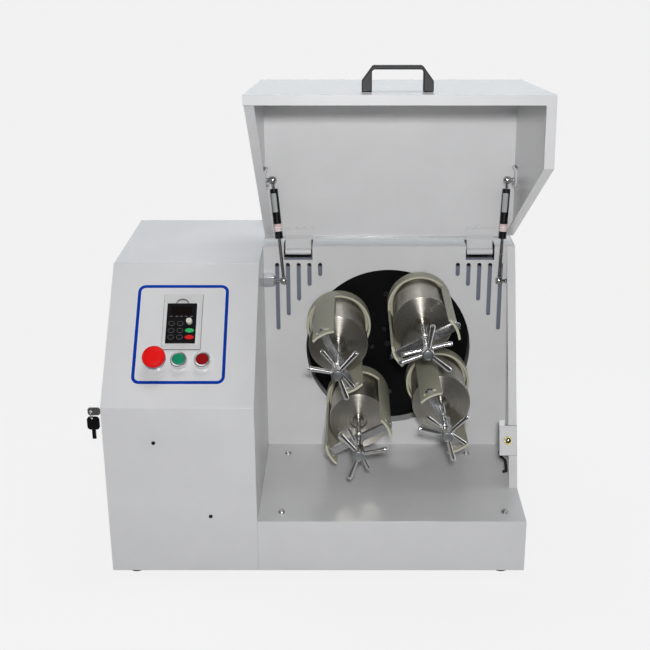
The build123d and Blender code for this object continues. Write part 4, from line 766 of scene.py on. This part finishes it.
shadedLiner = {  # plates behind the panel's slots and the hinge notches, millimetres from the wall and from the top; their paint is painted shade, as dark as the shade seen through the slots and notches
    "SlotLiner": {"setback": 11.0, "depth": 0.8,
                  "outline": ((14.0, -45.5), (117.0, -45.5), (117.0, -75.0), (18.0, -187.0), (14.0, -187.0))},
    "HingePocket": {"setback": 30.0, "depth": 1.0,
                    "outline": ((38.5, -41.0), (94.5, -41.0), (94.5, -33.8), (38.5, -33.8))},
}
for side, wall, sign in (("left", machine["chamberLeft"], 1), ("right", machine["right"], -1)):
    for name, row in shadedLiner.items():
        start = Vector((wall, machine["panelFront"] + row["setback"] * mm, machine["top"]))
        prism(side + name, row["outline"], start, toRight * sign, upward, -sign * row["depth"], finish["shadedLiner"],
              "housing")
print("liners made")


def weldRow(name, spots, radius, seed, mat, body):
    # short row of flattened beads, each a little different, on the lid's inner face
    bm = bmesh.new()
    for number, spot in enumerate(spots):
        size = radius * (0.7 + 0.5 * abs(math.sin(seed + 2.3 * number)))
        crown = bm.verts.new(spot - lidUp * size * 0.55 * mm)
        rows = []
        for share, height in ((0.55, 0.45), (0.9, 0.2), (1.05, -0.1)):
            rows.append([bm.verts.new(spot - lidUp * size * height * mm
                                      + (Vector((1, 0, 0)) * math.cos(a) * 1.25 + lidOut * math.sin(a)) * size * share
                                      * (1 + 0.12 * math.sin(3 * a + number)) * mm)
                         for a in [2 * math.pi * i / 12 for i in range(12)]])
        for i in range(12):
            j = (i + 1) % 12
            bm.faces.new((crown, rows[0][i], rows[0][j]))
            for a, b in zip(rows, rows[1:]):
                bm.faces.new((a[i], b[i], b[j], a[j]))
        bm.faces.new(rows[-1])
    bmesh.ops.recalc_face_normals(bm, faces=bm.faces)
    return makePiece(name, bm, body, [mat], 80.0)


lidHem = {  # the turned-in lower edge of the lid's right side
    "inset": 0.016, "start": 312.0, "rise": 1.5, "thickness": 2.0,
    "outline": ((0, 0), (14.0, 0), (14.0, 97.3), (0, 97.3)),
}
trayBelowHinge = (machine["trayTop"] - lidHinge.z) * perMetre
hemFoot = lidPoint(machine["right"] - lidHem["inset"], lidHem["start"], trayBelowHinge + lidHem["rise"])
prism("lidRightHem", lidHem["outline"], hemFoot, toRight, -lidOut, lidHem["thickness"], finish["shell"], "lid",
      edge=0.3)

weld = {  # beads along both hinge straps and down the inner left corner; places in metres, the rest in millimetres
    "straps": (-0.0425, 0.3085), "strapStart": -0.024, "strapStep": 0.0042, "strapEnd": 44.5, "strapSway": 1.6,
    "strapBead": 1.9, "strapCount": 14, "corner": -0.1015, "cornerSway": 0.0006, "cornerStart": 92.0,
    "cornerStep": 12.5, "cornerStagger": 3.0, "cornerBead": 1.5, "cornerCount": 13, "face": 13.9,
}
for i, middle in enumerate(weld["straps"]):
    spots = []
    for n in range(weld["strapCount"]):
        across = middle + weld["strapStart"] + weld["strapStep"] * n
        spots.append(lidPoint(across, weld["strapEnd"] + weld["strapSway"] * math.sin(1.7 * n + i), weld["face"]))
    weldRow(f"strapWeld{i}", spots, weld["strapBead"], 0.4 + i, finish["shell"], "lid")
spots = []
for n in range(weld["cornerCount"]):
    ahead = weld["cornerStart"] + weld["cornerStep"] * n + weld["cornerStagger"] * math.sin(1.3 * n)
    spots.append(lidPoint(weld["corner"] + weld["cornerSway"] * math.sin(2.1 * n), ahead, weld["face"]))
weldRow("cornerWeld", spots, weld["cornerBead"], 1.9, finish["shell"], "lid")
print("welds made")

interlock = {  # millimetres up the right wall's flange and out from it, from the flange's foot
    "lean": 0.4411, "footY": -0.124, "boxLow": 62.0, "boxHigh": 118.0, "slack": 0.3, "leverInset": 0.0345,
    "shadeLine": ((-34.9, 61.2), (-0.4, 61.2), (-0.4, 118.8), (-34.9, 118.8)), "shadeLineDepth": 0.3,
    "plunger": (-18.0, 90.0, 10.5), "pinShift": 0.0013,  # the plunger's dark centre, painted shade of its recess, and its bright tip
    "well": ((0, -0.2), (5.0, -0.2), (5.3, 0.1), (4.6, 0.35), (0, 0.35)),
    "pin": ((0, 0.2), (2.7, 0.2), (2.5, 0.5), (1.6, 0.7), (0, 0.75)),
}
wallLean = math.atan2(interlock["lean"], 1.0)
flangeOut = Vector((0, -math.cos(wallLean), math.sin(wallLean)))
flangeUp = Vector((0, math.sin(wallLean), math.cos(wallLean)))
flangeStart = Vector((machine["right"], interlock["footY"], machine["trayTop"]))
interlockSkin = dress("interlock_box", [finish["shell"], finish["blackPlastic"], finish["white"]], 0.5, 2)
leverEdge = machine["right"] - interlock["leverInset"]
for face in interlockSkin.data.polygons:  # black lever below and beside the box, white guide block above it
    up = (face.center - flangeStart).dot(flangeUp) * perMetre
    if up < interlock["boxLow"] - interlock["slack"] or face.center.x < leverEdge:
        face.material_index = 1
    elif up > interlock["boxHigh"] + interlock["slack"]:
        face.material_index = 2
# thin dark plate a little larger than the box: painted shade in the seam round its edges
prism("boxSeamShade", interlock["shadeLine"], flangeStart, toRight, flangeUp, interlock["shadeLineDepth"], finish["shadeLine"], "housing")
across, up, out = interlock["plunger"]
spot = flangeStart + toRight * across * mm + flangeUp * up * mm + flangeOut * out * mm
body, slotName = bodyOf["interlock_plunger"], slotOf["interlock_plunger"]
lathe("plungerWell", interlock["well"], spot, flangeOut, finish["wellShadeBrown"], body, steps=32)
lathe("plungerPin", interlock["pin"], spot + toRight * interlock["pinShift"], flangeOut, finish["chrome"], body,
      steps=24)
print("interlock detailed")

studio = {
    "background": 0.885, "nearGlow": 0.975, "floorShare": 0.85, "near": 0.55, "far": 1.5, "floorSize": 30.0,
    "floorColour": (0.62, 0.62, 0.62, 1), "floorRoom": (-0.9, 0.1), "room": 0.03,
    "ambient": 0.12, "ambientColour": (0.92, 0.95, 1.0, 1), "mirrorColour": (0.90, 0.96, 1.0, 1),
    "worldRoom": (-0.25, 0.35), "ceiling": (0.40, 0.75), "ceilingLevel": 0.2,
}
lamps = {  # place, target, size, power, tint and whether polished pieces mirror it
    "keyLamp": ((0.10, -2.16, 1.295), (0.0, 0, 0.40), (0.13, 0.09), 27.5, (1, 1, 1), True),
    "topLamp": ((0.1, 0.1, 2.6), (0.1, 0.0, 0.5), (1.2, 0.6), 16.0, (1, 1, 1), True),
    "leftLamp": ((-2.4, 0.3, 1.0), (0, 0, 0.35), (0.4, 1.6), 8.0, (1, 1, 1), True),
    "rightLamp": ((2.4, 0.4, 1.0), (0, 0, 0.35), (0.4, 1.6), 8.0, (1, 1, 1), True),
    "backLamp": ((0.3, 2.9, 1.5), (0.1, 0, 0.4), (2.4, 1.0), 19.0, (0.93, 0.97, 1.0), False),
}


def mathOf(tree, operation, first, second):
    node = addNode(tree, "ShaderNodeMath", operation=operation)
    tree.links.new(first, node.inputs[0])
    tree.links.new(second, node.inputs[1])
    return node.outputs[0]


def mapOf(tree, value, source, result, kind="SMOOTHSTEP"):
    # maps the source range on the result range
    node = addNode(tree, "ShaderNodeMapRange", interpolation_type=kind)
    for name, level in zip(("From Min", "From Max", "To Min", "To Max"), (*source, *result)):
        node.inputs[name].default_value = level
    tree.links.new(value, node.inputs["Value"])
    return node.outputs["Result"]


def mixOf(tree, factor, first, second):
    node = addNode(tree, "ShaderNodeMixShader")
    for i, source in enumerate((factor, first, second)):
        tree.links.new(source, node.inputs[i])
    return node.outputs[0]


def lightOf(tree, rays, *kinds):
    # 1 for the rays of these kinds, 0 for the rest
    total = rays.outputs[kinds[0]]
    for kind in kinds[1:]:
        total = mathOf(tree, "MAXIMUM", total, rays.outputs[kind])
    return total


def stageMaterial():
    # the floor keeps the object's shadow close to it, and fades into the background further out
    mat, tree, shader = startMaterial("paleFloor")
    shader.inputs["Base Color"].default_value = studio["floorColour"]
    shader.inputs["Roughness"].default_value = 0.9
    shader.inputs["Specular IOR Level"].default_value = 0.1
    rays = addNode(tree, "ShaderNodeLightPath")
    place = addNode(tree, "ShaderNodeTexCoord")
    parts = addNode(tree, "ShaderNodeSeparateXYZ")
    tree.links.new(place.outputs["Object"], parts.inputs[0])
    reach = addNode(tree, "ShaderNodeVectorMath", operation="LENGTH")
    tree.links.new(place.outputs["Object"], reach.inputs[0])
    fade = mapOf(tree, reach.outputs["Value"], (studio["near"], studio["far"]), (0.0, 1.0))
    share = mapOf(tree, fade, (0.0, 1.0), (studio["floorShare"], 1.0), "LINEAR")
    level = mapOf(tree, fade, (0.0, 1.0), (studio["nearGlow"], studio["background"]), "LINEAR")
    room = mapOf(tree, parts.outputs["Y"], studio["floorRoom"], (studio["room"], 1.0))
    glow = addNode(tree, "ShaderNodeEmission")
    tree.links.new(level, glow.inputs["Color"])
    tree.links.new(mathOf(tree, "MAXIMUM", rays.outputs["Is Camera Ray"], room), glow.inputs["Strength"])
    seen = lightOf(tree, rays, "Is Camera Ray", "Is Glossy Ray", "Is Transmission Ray")
    surface = mixOf(tree, mathOf(tree, "MULTIPLY", seen, share), shader.outputs[0], glow.outputs[0])
    tree.links.new(surface, tree.nodes["Material Output"].inputs["Surface"])
    return mat


def addFloor():
    bm = bmesh.new()
    half = studio["floorSize"] / 2
    corners = [bm.verts.new((x, y, 0)) for x, y in ((-half, -half), (half, -half), (half, half), (-half, half))]
    bm.faces.new(corners)
    mesh = bpy.data.meshes.new("floor")
    bm.to_mesh(mesh)
    bm.free()
    floor = bpy.data.objects.new("floor", mesh)
    mesh.materials.append(stageMaterial())
    bpy.context.scene.collection.objects.link(floor)


def addWorld():
    # pale backdrop behind the object, and a darker room on the lamps' side that metal shows
    world = bpy.data.worlds.new("studio")
    bpy.context.scene.world = world
    world.use_nodes = True
    tree = world.node_tree
    level = studio["background"]
    back = tree.nodes["Background"]
    back.inputs["Color"].default_value = studio["ambientColour"]
    back.inputs["Strength"].default_value = studio["ambient"]
    place = addNode(tree, "ShaderNodeTexCoord")
    parts = addNode(tree, "ShaderNodeSeparateXYZ")
    tree.links.new(place.outputs["Generated"], parts.inputs[0])
    sweep = mapOf(tree, parts.outputs["Y"], studio["worldRoom"], (studio["room"], 1.0))
    ceiling = mapOf(tree, parts.outputs["Z"], studio["ceiling"], (1.0, studio["ceilingLevel"]))  # darker high up
    mirror = addNode(tree, "ShaderNodeBackground", Color=studio["mirrorColour"])
    tree.links.new(mathOf(tree, "MULTIPLY", sweep, ceiling), mirror.inputs["Strength"])
    seen = addNode(tree, "ShaderNodeBackground", Color=(level, level, level, 1), Strength=1.0)
    rays = addNode(tree, "ShaderNodeLightPath")
    glossy = lightOf(tree, rays, "Is Glossy Ray", "Is Transmission Ray")
    metal = mixOf(tree, glossy, back.outputs[0], mirror.outputs[0])
    surface = mixOf(tree, rays.outputs["Is Camera Ray"], metal, seen.outputs[0])
    tree.links.new(surface, tree.nodes["World Output"].inputs["Surface"])


def addLamp(name, place, target, size, power, tint, mirrored):
    data = bpy.data.lights.new(name, "AREA")
    data.shape = "RECTANGLE"
    data.size, data.size_y = size
    data.energy = power
    data.color = tint
    lamp = bpy.data.objects.new(name, data)
    bpy.context.scene.collection.objects.link(lamp)
    lamp.visible_glossy = mirrored
    lamp.location = place
    lamp.rotation_euler = (Vector(target) - Vector(place)).to_track_quat("-Z", "Y").to_euler()


addFloor()
addWorld()
for name, row in lamps.items():
    addLamp(name, *row)

lens = {"focal": 64.46, "sensor": 36.0, "shiftX": -0.0385, "place": (0.0576, -2.0873, 1.1679), "tilt": 69.682}
camData = bpy.data.cameras.new("camera")
camData.lens = lens["focal"]
camData.sensor_width = lens["sensor"]
camData.shift_x = lens["shiftX"]
camera = bpy.data.objects.new("camera", camData)
camera.location = lens["place"]
camera.rotation_euler = (math.radians(lens["tilt"]), 0, 0)
bpy.context.scene.collection.objects.link(camera)
bpy.context.scene.camera = camera
bpy.context.scene.view_settings.view_transform = "Standard"
print("stage, lamps and camera set")
